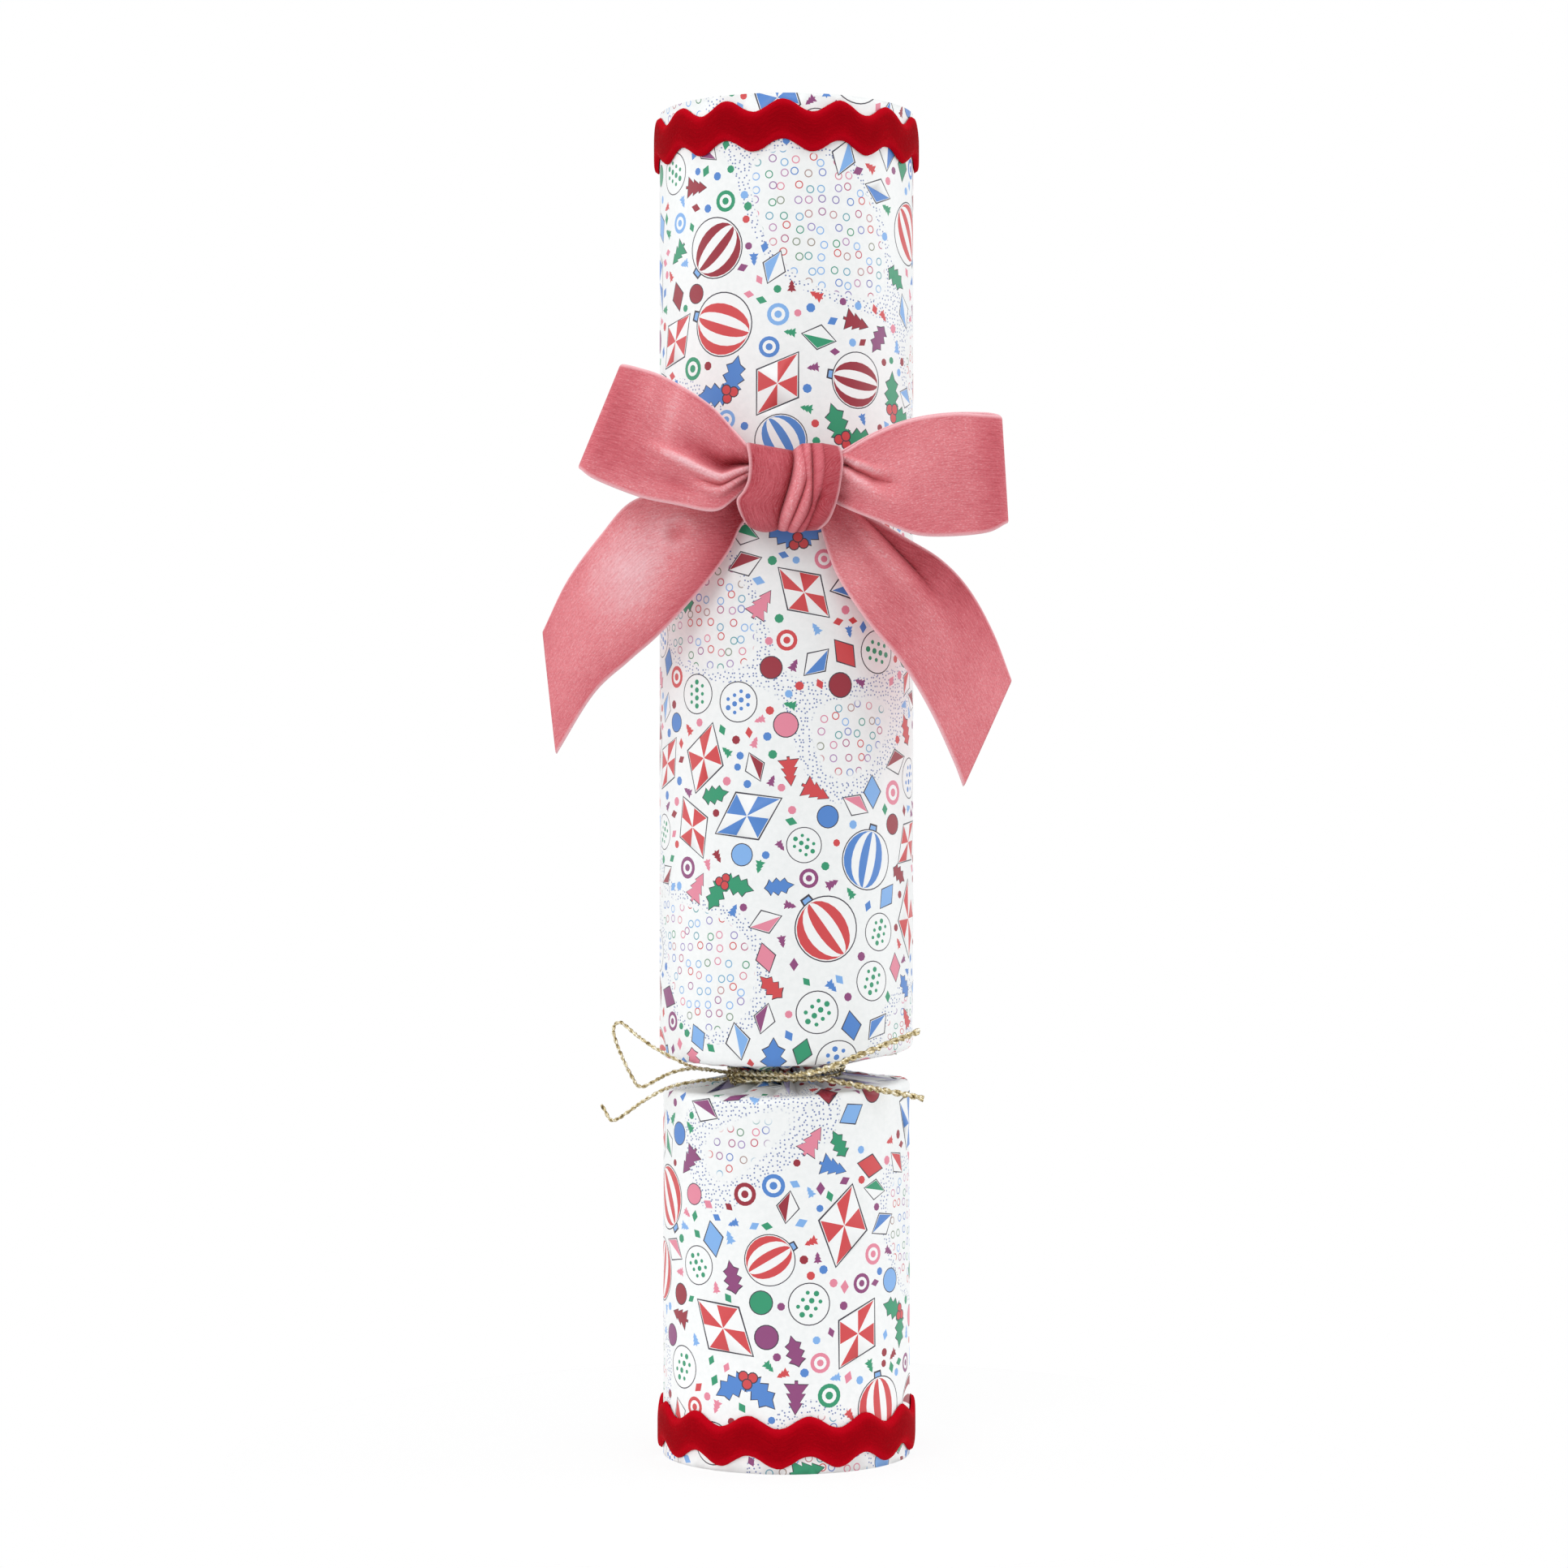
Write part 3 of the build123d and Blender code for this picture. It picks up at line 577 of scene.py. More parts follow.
def gored_bauble(ink):
    """Large bauble in upright gores with a cap."""
    radius = 6.4
    parts = [
        (np.array([(-1.3, 5.6), (1.3, 5.6), (1.1, 7.9), (-1.1, 7.9)]), "outline"),
        (np.array([(-0.9, 6.0), (0.9, 6.0), (0.75, 7.5), (-0.75, 7.5)]), "sky"),
        (ring_points(radius + 0.26, 36), "outline"),
        (ring_points(radius, 36), "white"),
    ]
    sweep = np.linspace(-math.pi / 2 + 0.06, math.pi / 2 - 0.06, 12)
    for inner, outer in ((-1.0, -0.68), (-0.34, 0.0), (0.34, 0.68)):
        edge = [(radius * outer * math.cos(a), radius * math.sin(a)) for a in sweep]
        back = [(radius * inner * math.cos(a), radius * math.sin(a)) for a in sweep[::-1]]
        parts.append((np.array(edge + back) * 0.97, ink))
    return parts


def holly_sprig(ink):
    """Two leaves with berries."""
    parts = []
    leaf = leaf_points(2.3, 4.2)
    for turn in (-52.0, 52.0):
        for shape, colour in ((grown(leaf, 0.3), "outline"), (leaf, ink)):
            parts.append(((shape + (0.0, 4.3)) @ spin(math.radians(turn)) + (0.0, -3.0), colour))
    for across, up in ((-1.0, -3.3), (1.1, -3.2), (0.0, -1.7)):
        parts.append((ring_points(1.25, 12, across, up), "outline"))
        parts.append((ring_points(1.0, 12, across, up), "red"))
    return parts


def open_bauble(ink):
    """Bauble drawn in line with rows of dots."""
    parts = [(ring_points(4.6, 30), "outline"), (ring_points(4.36, 30), "white")]
    for across in (-2.7, -0.9, 0.9, 2.7):
        parts.append((ring_points(0.62, 9, across, 0.0), ink))
    for across in (-1.8, 0.0, 1.8):
        parts.append((ring_points(0.45, 8, across, 1.7), ink))
        parts.append((ring_points(0.45, 8, across, -1.7), ink))
    return parts


def outlined(points, ink, line):
    """Flat shape with a dark outline."""
    return [(grown(points, line), "outline"), (points, ink)]


def mid_shape(kind, ink):
    """Middle-sized shape."""
    if kind == "lozenge":
        return outlined(lozenge_points(2.4, 3.6), ink, 0.34)
    if kind == "ball":
        return [(ring_points(2.6, 20), "outline"), (ring_points(2.38, 20), ink)]
    if kind == "leaf":
        return outlined(leaf_points(1.8, 3.4), ink, 0.24)
    if kind == "tree":
        return outlined(tree_points(2.5, 3.5), ink, 0.24)
    if kind == "facet":
        corners = lozenge_points(2.5, 3.7)
        right = np.array([corners[3], corners[0], corners[1]])
        return outlined(corners, "white", 0.34) + [(right * (0.94, 0.97), ink)]
    return [(ring_points(2.5, 18), ink), (ring_points(1.6, 14), "white"), (ring_points(0.85, 10), ink)]


def small_shape(kind, ink):
    """Small flat shape."""
    if kind == "lozenge":
        return [(lozenge_points(0.95, 1.4), ink)]
    if kind == "tree":
        return [(tree_points(1.15, 1.5), ink)]
    return [(ring_points(0.95, 8), ink)]


def lay_out_print():
    """Shapes tossed over the flat sheet without touching: large ones first, small ones in what is left."""
    rng = random.Random(print_seed)
    width = FULL_TURN * barrel_radius + lap_width
    height = top_rim + 100.0
    cell = 0.3
    margin = 15.0
    taken = np.zeros((int((width + 2 * margin) / cell), int((height + 2 * margin) / cell)), bool)
    shapes = []

    def cells(points):
        return tuple(((points + margin) / cell).astype(int).T)

    def rim(points):
        following = np.roll(points, -1, axis=0)
        return np.vstack([points + (following - points) * share for share in np.linspace(0.0, 0.9, 10)])

    def fill(points):
        low, high = points.min(axis=0), points.max(axis=0)
        step = cell * 0.8
        across, up = np.meshgrid(np.arange(low[0], high[0], step), np.arange(low[1], high[1], step))
        inside = np.zeros(across.shape, bool)
        for (x1, y1), (x2, y2) in zip(points, np.roll(points, -1, axis=0)):
            if y1 != y2:
                inside ^= ((y1 > up) != (y2 > up)) & (across < (x2 - x1) * (up - y1) / (y2 - y1) + x1)
        return np.stack([across[inside], up[inside]], axis=1)

    def toss(tries, gap, low_zone, high_zone, make):
        for _ in range(tries):
            place = np.array([rng.uniform(0.0, width), rng.uniform(0.0, height)])
            if not low_zone < zone_value(*place) < high_zone:
                continue
            turned = spin(rng.uniform(0.0, FULL_TURN)) * rng.uniform(0.85, 1.1)
            shape = [(points @ turned, ink) for points, ink in make(rng)]
            edge = np.vstack([rim(grown(points, gap)) for points, ink in shape]) + place
            if taken[cells(edge)].any():
                continue
            for points, _ in shape:
                taken[cells(np.vstack([fill(points + place), rim(points + place)]))] = True
            shapes.append([(points + place, ink) for points, ink in shape])

    strong = ["red", "red", "maroon", "blue", "red", "blue"]
    leafy = ["green", "green", "blue"]
    flat = ["red", "pink", "plum", "green", "blue", "sky", "maroon"]
    large = [faceted_lozenge, gored_bauble, faceted_lozenge]
    middling = ["lozenge", "ball", "leaf", "tree", "facet", "target", "facet"]
    toss(1800, 0.8, 0.4, 9.0, lambda r: r.choice(large)(r.choice(strong)))
    toss(1200, 0.8, -0.2, 9.0, lambda r: r.choice([holly_sprig, open_bauble])(r.choice(leafy)))
    toss(9000, 0.6, -0.72, 9.0, lambda r: mid_shape(r.choice(middling), r.choice(flat)))
    toss(22000, 0.5, -0.74, 9.0, lambda r: small_shape(r.choice(["lozenge", "ball", "tree"]), r.choice(flat)))
    sparse = ["leaf", "tree", "lozenge"]
    toss(300, 4.0, -9.0, -0.75, lambda r: mid_shape(r.choice(sparse), r.choice(["green", "red"])))
    return shapes


print_shapes = lay_out_print()


# Wraps

def wrap_profile(radius, gather, side, far):
    """Half outline of a sleeve from its neck to a far height, as radius, height and share of gathering."""
    neck, setback, waist_half_height, shoulder_round = gather
    shoulder = neck + side * setback
    waist = neck + side * waist_half_height
    rim = radius - shoulder_round - land_width
    rows = []
    for share in np.linspace(0.0, 1.0, 5):
        rows.append((waist_radius, neck + side * (tear_gap + (waist_half_height - tear_gap) * share), 1.0))
    for share in np.linspace(0.0, 1.0, 17)[1:]:
        reach = waist_radius + (rim - waist_radius) * share
        rows.append((reach, waist + (shoulder - waist) * share, 1.0 - share))
    rows.append((radius - shoulder_round, shoulder, 0.0))
    for angle in np.linspace(0.0, 90.0, 9)[1:]:
        turn = math.radians(angle)
        reach = radius - shoulder_round * (1.0 - math.sin(turn))
        rows.append((reach, shoulder + side * shoulder_round * (1.0 - math.cos(turn)), 0.0))
    wall = shoulder + side * shoulder_round
    steps = max(int(abs(far - wall) / 9.0), 1)
    for share in np.linspace(0.0, 1.0, steps + 1)[1:]:
        rows.append((radius, wall + (far - wall) * share, 0.0))
    return rows


pleat_rng = random.Random(pleat_seed)
pleat_edges = []
for pleat in range(pleat_count):
    pleat_edges.append((pleat + pleat_rng.uniform(-0.24, 0.24)) * FULL_TURN / pleat_count)
pleat_edges = np.array(pleat_edges + [pleat_edges[0] + FULL_TURN])
pleat_skews = np.array([pleat_rng.uniform(0.28, 0.72) for _ in range(pleat_count)])
pleat_weights = np.array([pleat_rng.uniform(0.7, 1.0) for _ in range(pleat_count)])


def pleat_fall(theta):
    """How far each angle lies below its pleat's ridge, from 0 to 1."""
    turned = (theta - pleat_edges[0]) % FULL_TURN + pleat_edges[0]
    index = np.clip(np.searchsorted(pleat_edges, turned, side="right") - 1, 0, pleat_count - 1)
    local = (turned - pleat_edges[index]) / (pleat_edges[index + 1] - pleat_edges[index])
    skew = pleat_skews[index]
    rise = np.where(local < skew, local / skew, (1.0 - local) / (1.0 - skew))
    return pleat_weights[index] * (1.0 - np.sin(rise * math.pi / 2))


def lower_neck_lean(across, height):
    """How far the tie drew up the gathers of the lower neck, more at the sides and on the right."""
    near = smooth((14.0 - np.abs(height - lower_neck)) / 9.0)
    return near * (0.3 + 0.034 * across + 1.1 * (across / 27.0) ** 2)


def collar_share(rim, reach, theta):
    """How near the lower neck's gathers come to the cord, 0 at the waist, the rim and the cord's knot."""
    share = np.clip((reach - waist_radius) / (rim - waist_radius), 0.0, 1.0)
    knot = bump((theta - knot_angle + math.pi) % FULL_TURN, math.pi, math.radians(16.0))
    return smooth(share / 0.2) * (1.0 - share) * (1.0 - knot)


def turned_back(radius, neck_angle, rim_angle, from_neck, to_rim, half_width):
    """Sliver of the sheet's reverse, wide at the neck; distances run along the sheet from its rim."""
    start = radius * (math.radians(neck_angle) - math.pi / 2) + lap_width / 2
    end = radius * (math.radians(rim_angle) - math.pi / 2) + lap_width / 2
    return np.array([(start + half_width, from_neck), (start - half_width, from_neck), (end, to_rim)])


def sliver_rise(corners, u, v, raised):
    """Share of the way to a sliver's raised corner at the neck, 0 outside the sliver."""
    one, two, three = corners
    area = (two[0] - one[0]) * (three[1] - one[1]) - (three[0] - one[0]) * (two[1] - one[1])
    second = ((u - one[0]) * (three[1] - one[1]) - (three[0] - one[0]) * (v - one[1])) / area
    third = ((two[0] - one[0]) * (v - one[1]) - (u - one[0]) * (two[1] - one[1])) / area
    first = 1.0 - second - third
    inside = np.minimum(np.minimum(first, second), third) > -0.001
    return np.where(inside, second if raised else first, 0.0)


def cut_sheet(width, run, gathered, print_start, folds):
    """Flat sheet cut along the edges of its print: places, triangles and each triangle's ink."""
    length = run[-1]
    points = [(0.0, 0.0), (width, 0.0), (width, length), (0.0, length)]
    polygons = [[0, 1, 2, 3]]
    colours = ["paper"]

    def add(corners, ink):
        polygons.append(list(range(len(points), len(points) + len(corners))))
        points.extend(tuple(corner) for corner in corners)
        colours.append(ink)

    for shape in print_shapes:
        placed = [(corners - (0.0, print_start), ink) for corners, ink in shape]
        low = np.min([corners.min(axis=0) for corners, ink in placed], axis=0)
        high = np.max([corners.max(axis=0) for corners, ink in placed], axis=0)
        if high[1] < 0.0 or low[1] > length or low[0] > width:
            continue
        if any((low < c.max(axis=0)).all() and (high > c.min(axis=0)).all() for c, lift, at_less in folds):
            continue
        for corners, ink in placed:
            add(corners, ink)
    for corners, lift, at_less in folds:
        add(corners, "lilac")
    for along, share in zip(run, gathered):
        count = int(width / (gathered_step if share > 0 else plain_step))
        points.extend((width * (i + 0.5) / count, along) for i in range(count))
    out = delaunay_2d_cdt([Vector(p) for p in points], [], polygons, 1, 1e-5, True)
    faces = []
    face_inks = []
    for triangle, owner in zip(out[2], out[5]):
        if 0 in owner:
            faces.append(tuple(triangle))
            face_inks.append(inks[colours[max(owner)]])
    return np.array([tuple(p) for p in out[0]]), faces, face_inks


def paper_wrap(name, radius, profile, sides, print_start, slivers, collar, body, node):
    """Rolled and gathered sheet, cut along its print and folded into the necks."""
    profile = np.array(profile)
    run = np.concatenate([[0.0], np.cumsum(np.hypot(np.diff(profile[:, 0]), np.diff(profile[:, 1])))])
    width = FULL_TURN * radius + lap_width
    folds = []
    for neck_angle, rim_angle, near, far, half_width, lift, at_less in slivers:
        corners = turned_back(radius, neck_angle, rim_angle, run[-1] - near, run[-1] - far, half_width)
        folds.append((corners, lift, at_less))
    flat, faces, face_inks = cut_sheet(width, run, profile[:, 2], print_start, folds)
    u, v = flat[:, 0], flat[:, 1]
    theta = math.pi / 2 - lap_width / (2 * radius) + u / radius
    reach, height, gathered = [np.interp(v, run, profile[:, k]) for k in range(3)]
    away = np.where(height > (profile[0, 1] + profile[-1, 1]) / 2, sides[1], sides[0])
    fall = pleat_fall(theta)
    to_tear = np.minimum(np.abs(height - lower_neck), np.abs(height - upper_neck)) - tear_gap
    tooth = tear_tooth * (2 * np.abs((theta * tear_teeth / FULL_TURN) % 1.0 - 0.5) - 0.5)
    height = height + tooth * np.clip(1.0 - to_tear / tear_reach, 0.0, 1.0) * (gathered > 0.99)
    rim = radius - lower_gather[3] - land_width
    height = height + collar * collar_share(rim, reach, theta) * (height < barrel_middle)
    for corners, lift, at_less in folds:
        height = height + lift * sliver_rise(corners, u, v, at_less)
    reach = reach - pleat_depth * gathered**1.3 * fall
    shoulder = away * np.sin(math.pi * np.clip(gathered, 0.0, 1.0))
    crumple = np.sin(11 * theta + 3.0) * np.sin(0.9 * v + 5 * theta)
    height = height + shoulder * (pleat_hollow * fall + crumple_depth * crumple)
    reach = reach + lap_rise * smooth((u - (width - lap_width - lap_ease)) / lap_ease)
    height = height + lower_neck_lean(reach * np.cos(theta), height)
    vertices = round_points(reach, theta, height)
    piece = make_piece(name, vertices, faces, paper_material, body, [node])
    mesh = piece.data
    point_places(piece, "sheet", u, v + print_start)
    ink = mesh.color_attributes.new("ink", "FLOAT_COLOR", "CORNER")
    loops = np.zeros((len(mesh.loops), 4), np.float32)
    for polygon, colour in zip(mesh.polygons, face_inks):
        loops[polygon.loop_start:polygon.loop_start + polygon.loop_total] = colour
    ink.data.foreach_set("color", loops.ravel())
    mesh.materials.append(reverse_material)
    wall = piece.modifiers.new("wall", "SOLIDIFY")
    wall.thickness = paper_wall * MM
    wall.offset = -1.0
    wall.material_offset = 1


upper_profile = wrap_profile(barrel_radius, upper_gather, 1, top_rim)
lower_profile = wrap_profile(lower_radius, lower_gather, -1, 0.0)
barrel_profile = wrap_profile(barrel_radius, lower_gather, 1, barrel_middle)
barrel_profile += wrap_profile(barrel_radius, upper_gather, -1, barrel_middle)[-2::-1]
# Pleats of the lower end that show their reverse: angle at the neck and the rim, distances from the tear,
# half width, rise at the neck and whether the edge at the lesser angle is the one that rises
lower_slivers = [
    (208.0, 222.0, 4.4, 14.0, 1.7, 0.5, True),
    (270.0, 271.5, 4.0, 14.5, 1.5, 0.4, False),
    (318.0, 330.0, 4.4, 14.5, 1.2, 0.5, False),
    (336.0, 350.0, 4.4, 16.0, 1.8, 0.8, False),
    (420.0, 426.0, 4.2, 12.0, 1.3, 0.8, True),
]
paper_wrap(
    "barrel_paper", barrel_radius, barrel_profile, (1, -1), 110.0, [], barrel_collar, "barrel", "barrel_wrap",
)
paper_wrap(
    "upper_end_paper", barrel_radius, upper_profile, (1, 1), 290.0, [], 0.0, "upper_end", "upper_end_wrap",
)
paper_wrap(
    "lower_end_paper", lower_radius, lower_profile[::-1], (-1, -1), 0.0, lower_slivers, lower_collar,
    "lower_end", "lower_end_wrap",
)


# Ric-rac

def ricrac(name, radius, middle, waves, phase, body, node):
    """Wavy velvet braid glued round a rim, its ends butted at the back."""
    seat = radius + lap_rise
    rows, columns = waves * 22, 21
    start = math.pi / 2 + braid_gap / seat
    theta = np.linspace(start, start + FULL_TURN - 2 * braid_gap / seat, rows)[:, None]
    across = np.linspace(-1.0, 1.0, columns)[None, :]
    sway = braid_sway * np.cos(waves * (theta - math.radians(phase)))
    fuzz = 0.05 * np.sin(37 * theta * waves / 14) * np.sin(91 * theta)
    height = middle + sway + (braid_half_band + fuzz) * across
    dome = np.sqrt(np.clip(1.0 - np.abs(across) ** 6, 0.0, 1.0))
    vertices = []
    for reach in (seat + braid_edge + (braid_wall - braid_edge) * dome, seat + braid_lift):
        vertices.append(round_points(reach, theta, height).reshape(-1, 3))
    faces = [face[::-1] for face in strip_faces(rows, columns)]
    piece = make_piece(name, np.vstack(vertices), faces, red_velvet, body, [node])
    to_edge = braid_half_band * (1.0 - np.abs(across))
    # Painted light: the braid is lighter towards its two edges, where its lobes catch the light
    painted_light = 0.3 + 0.4 * (1.0 - to_edge / braid_half_band) ** 2
    cloth_values(piece, to_edge, painted_light, theta * seat, to_edge)


ricrac("upper_braid", barrel_radius, top_rim - 7.0, 14, -91.6, "upper_end", "upper_ricrac")
ricrac("lower_braid", lower_radius, 6.9, 13, -79.8, "lower_end", "lower_ricrac")


# Velvet bow: edge points are across and up from the upper neck

def velvet_strip(name, grid, length, held, seat, replaced=(), painted_light=0.5, wall=ribbon_wall, **area):
    """Stretch of the rose ribbon."""
    piece = thick_sheet(name, grid, wall, rose_velvet, "barrel", replaced, painted_light=painted_light)


def ruled(upper_edge, lower_edge, shares, columns):
    """Flat points between two edges at shares of their length, and the shares across."""
    upper = curve_through(upper_edge, shares)
    lower = curve_through(lower_edge, shares)
    t = np.linspace(0.0, 1.0, columns)[None, :]
    return upper[:, None, :] * (1 - t)[:, :, None] + lower[:, None, :] * t[:, :, None], t


def ridges(f, t, line, folds):
    """Sum of folds beside a line: height, offset, width, where each ends and over what length it fades."""
    total = 0.0
    for height, offset, width, end, fade in folds:
        total = total + height * bump(t, line + offset, width) * smooth((end - f) / fade)
    return total


def bow_loop(name, top, bottom, back_shift, folds, node):
    """Loop of ribbon: a front layer, a soft fold and a back layer, pinched into the knot."""
    front_rows, back_rows, columns = 90, 36, 81
    fold_start = 0.92
    turn = np.linspace(-math.pi / 2, math.pi / 2, 15)[1:-1]
    shares = np.concatenate([
        np.linspace(0.0, fold_start, front_rows),
        fold_start + (1 - fold_start) * np.cos(turn),
        np.linspace(fold_start, 0.0, back_rows),
    ])
    layer = np.concatenate([-np.ones(front_rows), np.sin(turn), np.ones(back_rows)])[:, None]
    stations = [0.0, 0.25, 0.5, 0.75, fold_start, 1.0]
    half_depth = np.interp(shares, stations, [1.7, 3.2, 3.8, 3.5, 2.4, 2.4])[:, None]
    flat, t = ruled(top, bottom, shares, columns)
    crease, shine = folds(shares[:, None], t)
    front = np.clip(-layer, 0.0, 1.0)
    fold = front * crease
    depth = layer * half_depth + fold
    shift = np.clip(layer, 0.0, 1.0) * back_shift
    grid = points_of(flat[:, :, 0], loop_middle_y + depth, upper_neck + flat[:, :, 1] + shift)
    length = run_along(grid[:, columns // 2])[-1] * MM
    # Painted light: darker in the hollows of the folds, lighter on their ridges, with the loop's painted
    # highlights and shade on its front layer
    velvet_strip(name, grid, length, "folded", "bow_knot", [node], 0.45 - 0.1 * fold + front * shine)


# Folds of a loop or tail, f along it and t across: depth, negative towards the front, and painted light,
# lighter for painted highlights on ridges and lit parts, darker for painted shade in hollows and under the
# loops

def left_loop(f, t):
    """Left loop: a main fold from the knot outwards, with a second one below it."""
    line = np.interp(f, [0.0, 0.1, 0.23, 0.38, 0.5, 0.63, 1.0], [0.55, 0.575, 0.63, 0.62, 0.594, 0.573, 0.55])
    creases = ridges(f, t, line, [
        (-2.2, 0.0, 0.05, 0.78, 0.4),
        (3.0, -0.15, 0.1, 0.58, 0.42),
        (1.1, 0.08, 0.035, 0.45, 0.3),
        (-1.3, 0.145, 0.05, 0.5, 0.3),
    ])
    under = 1.0 * bump(t, 0.8, 0.07) * bump(f, 0.47, 0.12)
    swell = np.sin(math.pi * np.clip(0.15 + 0.85 * f, 0, 1)) * smooth((f - 0.25) / 0.3)
    belly = -1.2 * bump(t, 0.2, 0.2) * swell
    wave = 0.3 * np.sin(7 * f + 3 * t)
    # Painted highlights along the lips of the folds and painted shade in the hollow above the main fold
    lights = ridges(f, t, line, [
        (0.3, -0.005, 0.022, 0.75, 0.3),
        (0.22, 0.135, 0.03, 0.45, 0.25),
        (-0.15, -0.17, 0.11, 0.62, 0.3),
    ])
    # Painted highlight in a thin stripe across the loop and along its lower edge; darker towards the loop's
    # outer end
    highlight_stripe = 0.14 * bump(f, 0.6, 0.05) * smooth((0.66 - t) / 0.3)
    lower = 0.12 * bump(t, 1.0, 0.16) * smooth((f - 0.2) / 0.2)
    shine = lights + highlight_stripe + lower - 0.1 * smooth((f - 0.72) / 0.2)
    return creases + under + belly + wave, shine


def right_loop(f, t):
    """Right loop: a deep crease from the knot with a roll on each side."""
    line = np.interp(f, [0.0, 0.1, 0.17, 0.27, 0.36, 1.0], [0.1, 0.2, 0.35, 0.48, 0.52, 0.6])
    valley = 3.2 * np.exp(-np.abs(t - line - 0.03) / 0.06) * smooth((0.46 - f) / 0.22)
    rolls = ridges(f, t, line, [(-1.4, -0.07, 0.045, 0.44, 0.3), (-1.8, 0.19, 0.1, 0.55, 0.55)])
    hollow = 1.4 * bump(t, 0.8, 0.12) * smooth(1.0 - f / 0.3)
    belly = -1.0 * bump(t, 0.4, 0.4) * np.sin(math.pi * np.clip(f, 0, 1))
    wave = 0.3 * np.sin(7 * f - 4 * t)
    # Painted highlights on the rolls beside the crease and over the loop's body; darker towards the loop's
    # outer end
    lights = ridges(f, t, line, [(0.3, -0.06, 0.03, 0.42, 0.25), (0.18, 0.16, 0.05, 0.36, 0.25)])
    body = 0.06 * bump(f, 0.45, 0.22) * bump(t, 0.5, 0.45)
    return valley + rolls + hollow + belly + wave, lights + body - 0.14 * smooth((f - 0.78) / 0.16)


def left_tail(f, t):
    """Left tail: a dimple near the knot, a broad painted highlight down the middle and painted shadow under
    the loop by the knot.
    """
    crown = -1.5 * np.sin(math.pi * t) * smooth((f - 0.08) / 0.2) * (1.0 - 0.7 * f)
    turn = 2.4 * (t - 0.4) * np.sin(math.pi * f)
    around = np.hypot((t - 0.4) * 25.0, (f - 0.3) * 55.0)
    dimple = 0.8 * bump(around, 0.0, 2.0) - 0.6 * bump(around, 3.2, 1.1)
    swell = -0.9 * bump(f, 0.55, 0.16) * np.sin(math.pi * t)
    # Painted highlight in a broad band down the middle, lighter towards the end, and painted shadow of the
    # loop near the knot
    band = 0.27 * bump(f, 0.46, 0.34) * bump(t, 0.5, 0.5)
    shine = band + 0.1 * smooth((f - 0.6) / 0.3) * t - 0.42 * bump(f, 0.02, 0.22) * smooth(t / 0.6)
    return crown + turn + dimple + swell, shine


def right_tail(f, t):
    """Right tail: a slanting crease with a ridge below it."""
    line = np.interp(f, [0.0, 0.12, 0.5, 1.0], [0.02, 0.06, 0.3, 0.5])
    crown = -1.2 * np.sin(math.pi * t) * smooth((f - 0.08) / 0.2) * (1.0 - 0.7 * f)
    crease = 2.2 * np.exp(-np.abs(t - line) / 0.06) * bump(f, 0.32, 0.17)
    ridge = -1.3 * bump(t, line + 0.15, 0.09) * bump(f, 0.34, 0.22)
    turn = -1.8 * (t - 0.5) * np.sin(math.pi * f)
    # Painted highlights on the lower edge, the ridge and the end; painted shade across the middle and in the
    # crease
    edge_light = 0.2 * bump(t, 0.85, 0.25) * bump(f, 0.2, 0.2)
    ridge_light = 0.16 * bump(t, line + 0.2, 0.12) * bump(f, 0.3, 0.2)
    end_light = 0.12 * smooth((f - 0.62) / 0.3)
    painted_shade = 0.1 * bump(f, 0.42, 0.2) + 0.1 * bump(t, line, 0.06) * bump(f, 0.35, 0.15)
    return crown + crease + ridge + turn, edge_light + ridge_light + end_light - painted_shade


def bow_tail(name, upper_edge, lower_edge, folds, node):
    """Tail of ribbon from under the knot to its slanted cut."""
    columns = 71
    slant = 0.014
    shares = np.linspace(0.0, 1.0, 110)
    flat, t = ruled(upper_edge, lower_edge, shares, columns)
    past = np.clip(np.abs(flat[:, :, 0]) - 9.0, 0.0, None)
    fold, shine = folds(shares[:, None], t)
    depth = tail_y + 14.0 * (past / 41.0) ** 2 + fold
    grid = points_of(flat[:, :, 0], depth, upper_neck + flat[:, :, 1])
    # Painted light: darker in the hollows of the folds, lighter on their ridges, plus the tail's painted
    # highlights and shade
    painted_light = 0.42 - 0.12 * fold + shine
    length = run_along(grid[:, columns // 2])[-1] * MM
    area = ribbon_width * length
    velvet_strip(name, grid, length + slant, "hung", "bow_knot", [node], painted_light, area=area)


bow_loop(
    "velvet_loop_left",
    [(-7.5, 6.4), (-11.0, 10.4), (-16.5, 16.1), (-26.6, 22.2), (-35.2, 25.0)],
    [(-7.5, -0.6), (-11.4, -4.4), (-15.7, -6.8), (-23.7, -5.4), (-31.5, -3.7), (-41.0, 0.1), (-44.4, 2.6)],
    0.6, left_loop, "bow_loop_left",
)
bow_loop(
    "velvet_loop_right",
    [(9.0, 4.2), (12.5, 6.2), (18.6, 9.7), (26.3, 12.7), (35.3, 14.1), (45.8, 13.9)],
    [(9.0, -4.2), (14.1, -6.7), (21.9, -9.8), (27.9, -11.9), (35.3, -12.1), (43.1, -11.2), (47.2, -9.1)],
    1.0, right_loop, "bow_loop_right",
)
bow_tail(
    "velvet_tail_left",
    [(-8.6, 0.6), (-13.6, -0.6), (-24.0, -1.2), (-33.7, -3.5), (-40.7, -10.7), (-48.1, -20.2),
     (-53.7, -31.0)],
    [(-7.4, -6.8), (-10.0, -9.6), (-12.7, -15.1), (-18.7, -22.9), (-27.3, -32.1), (-34.4, -38.2),
     (-42.3, -45.3), (-50.7, -58.3)],
    left_tail, "bow_tail_left",
)
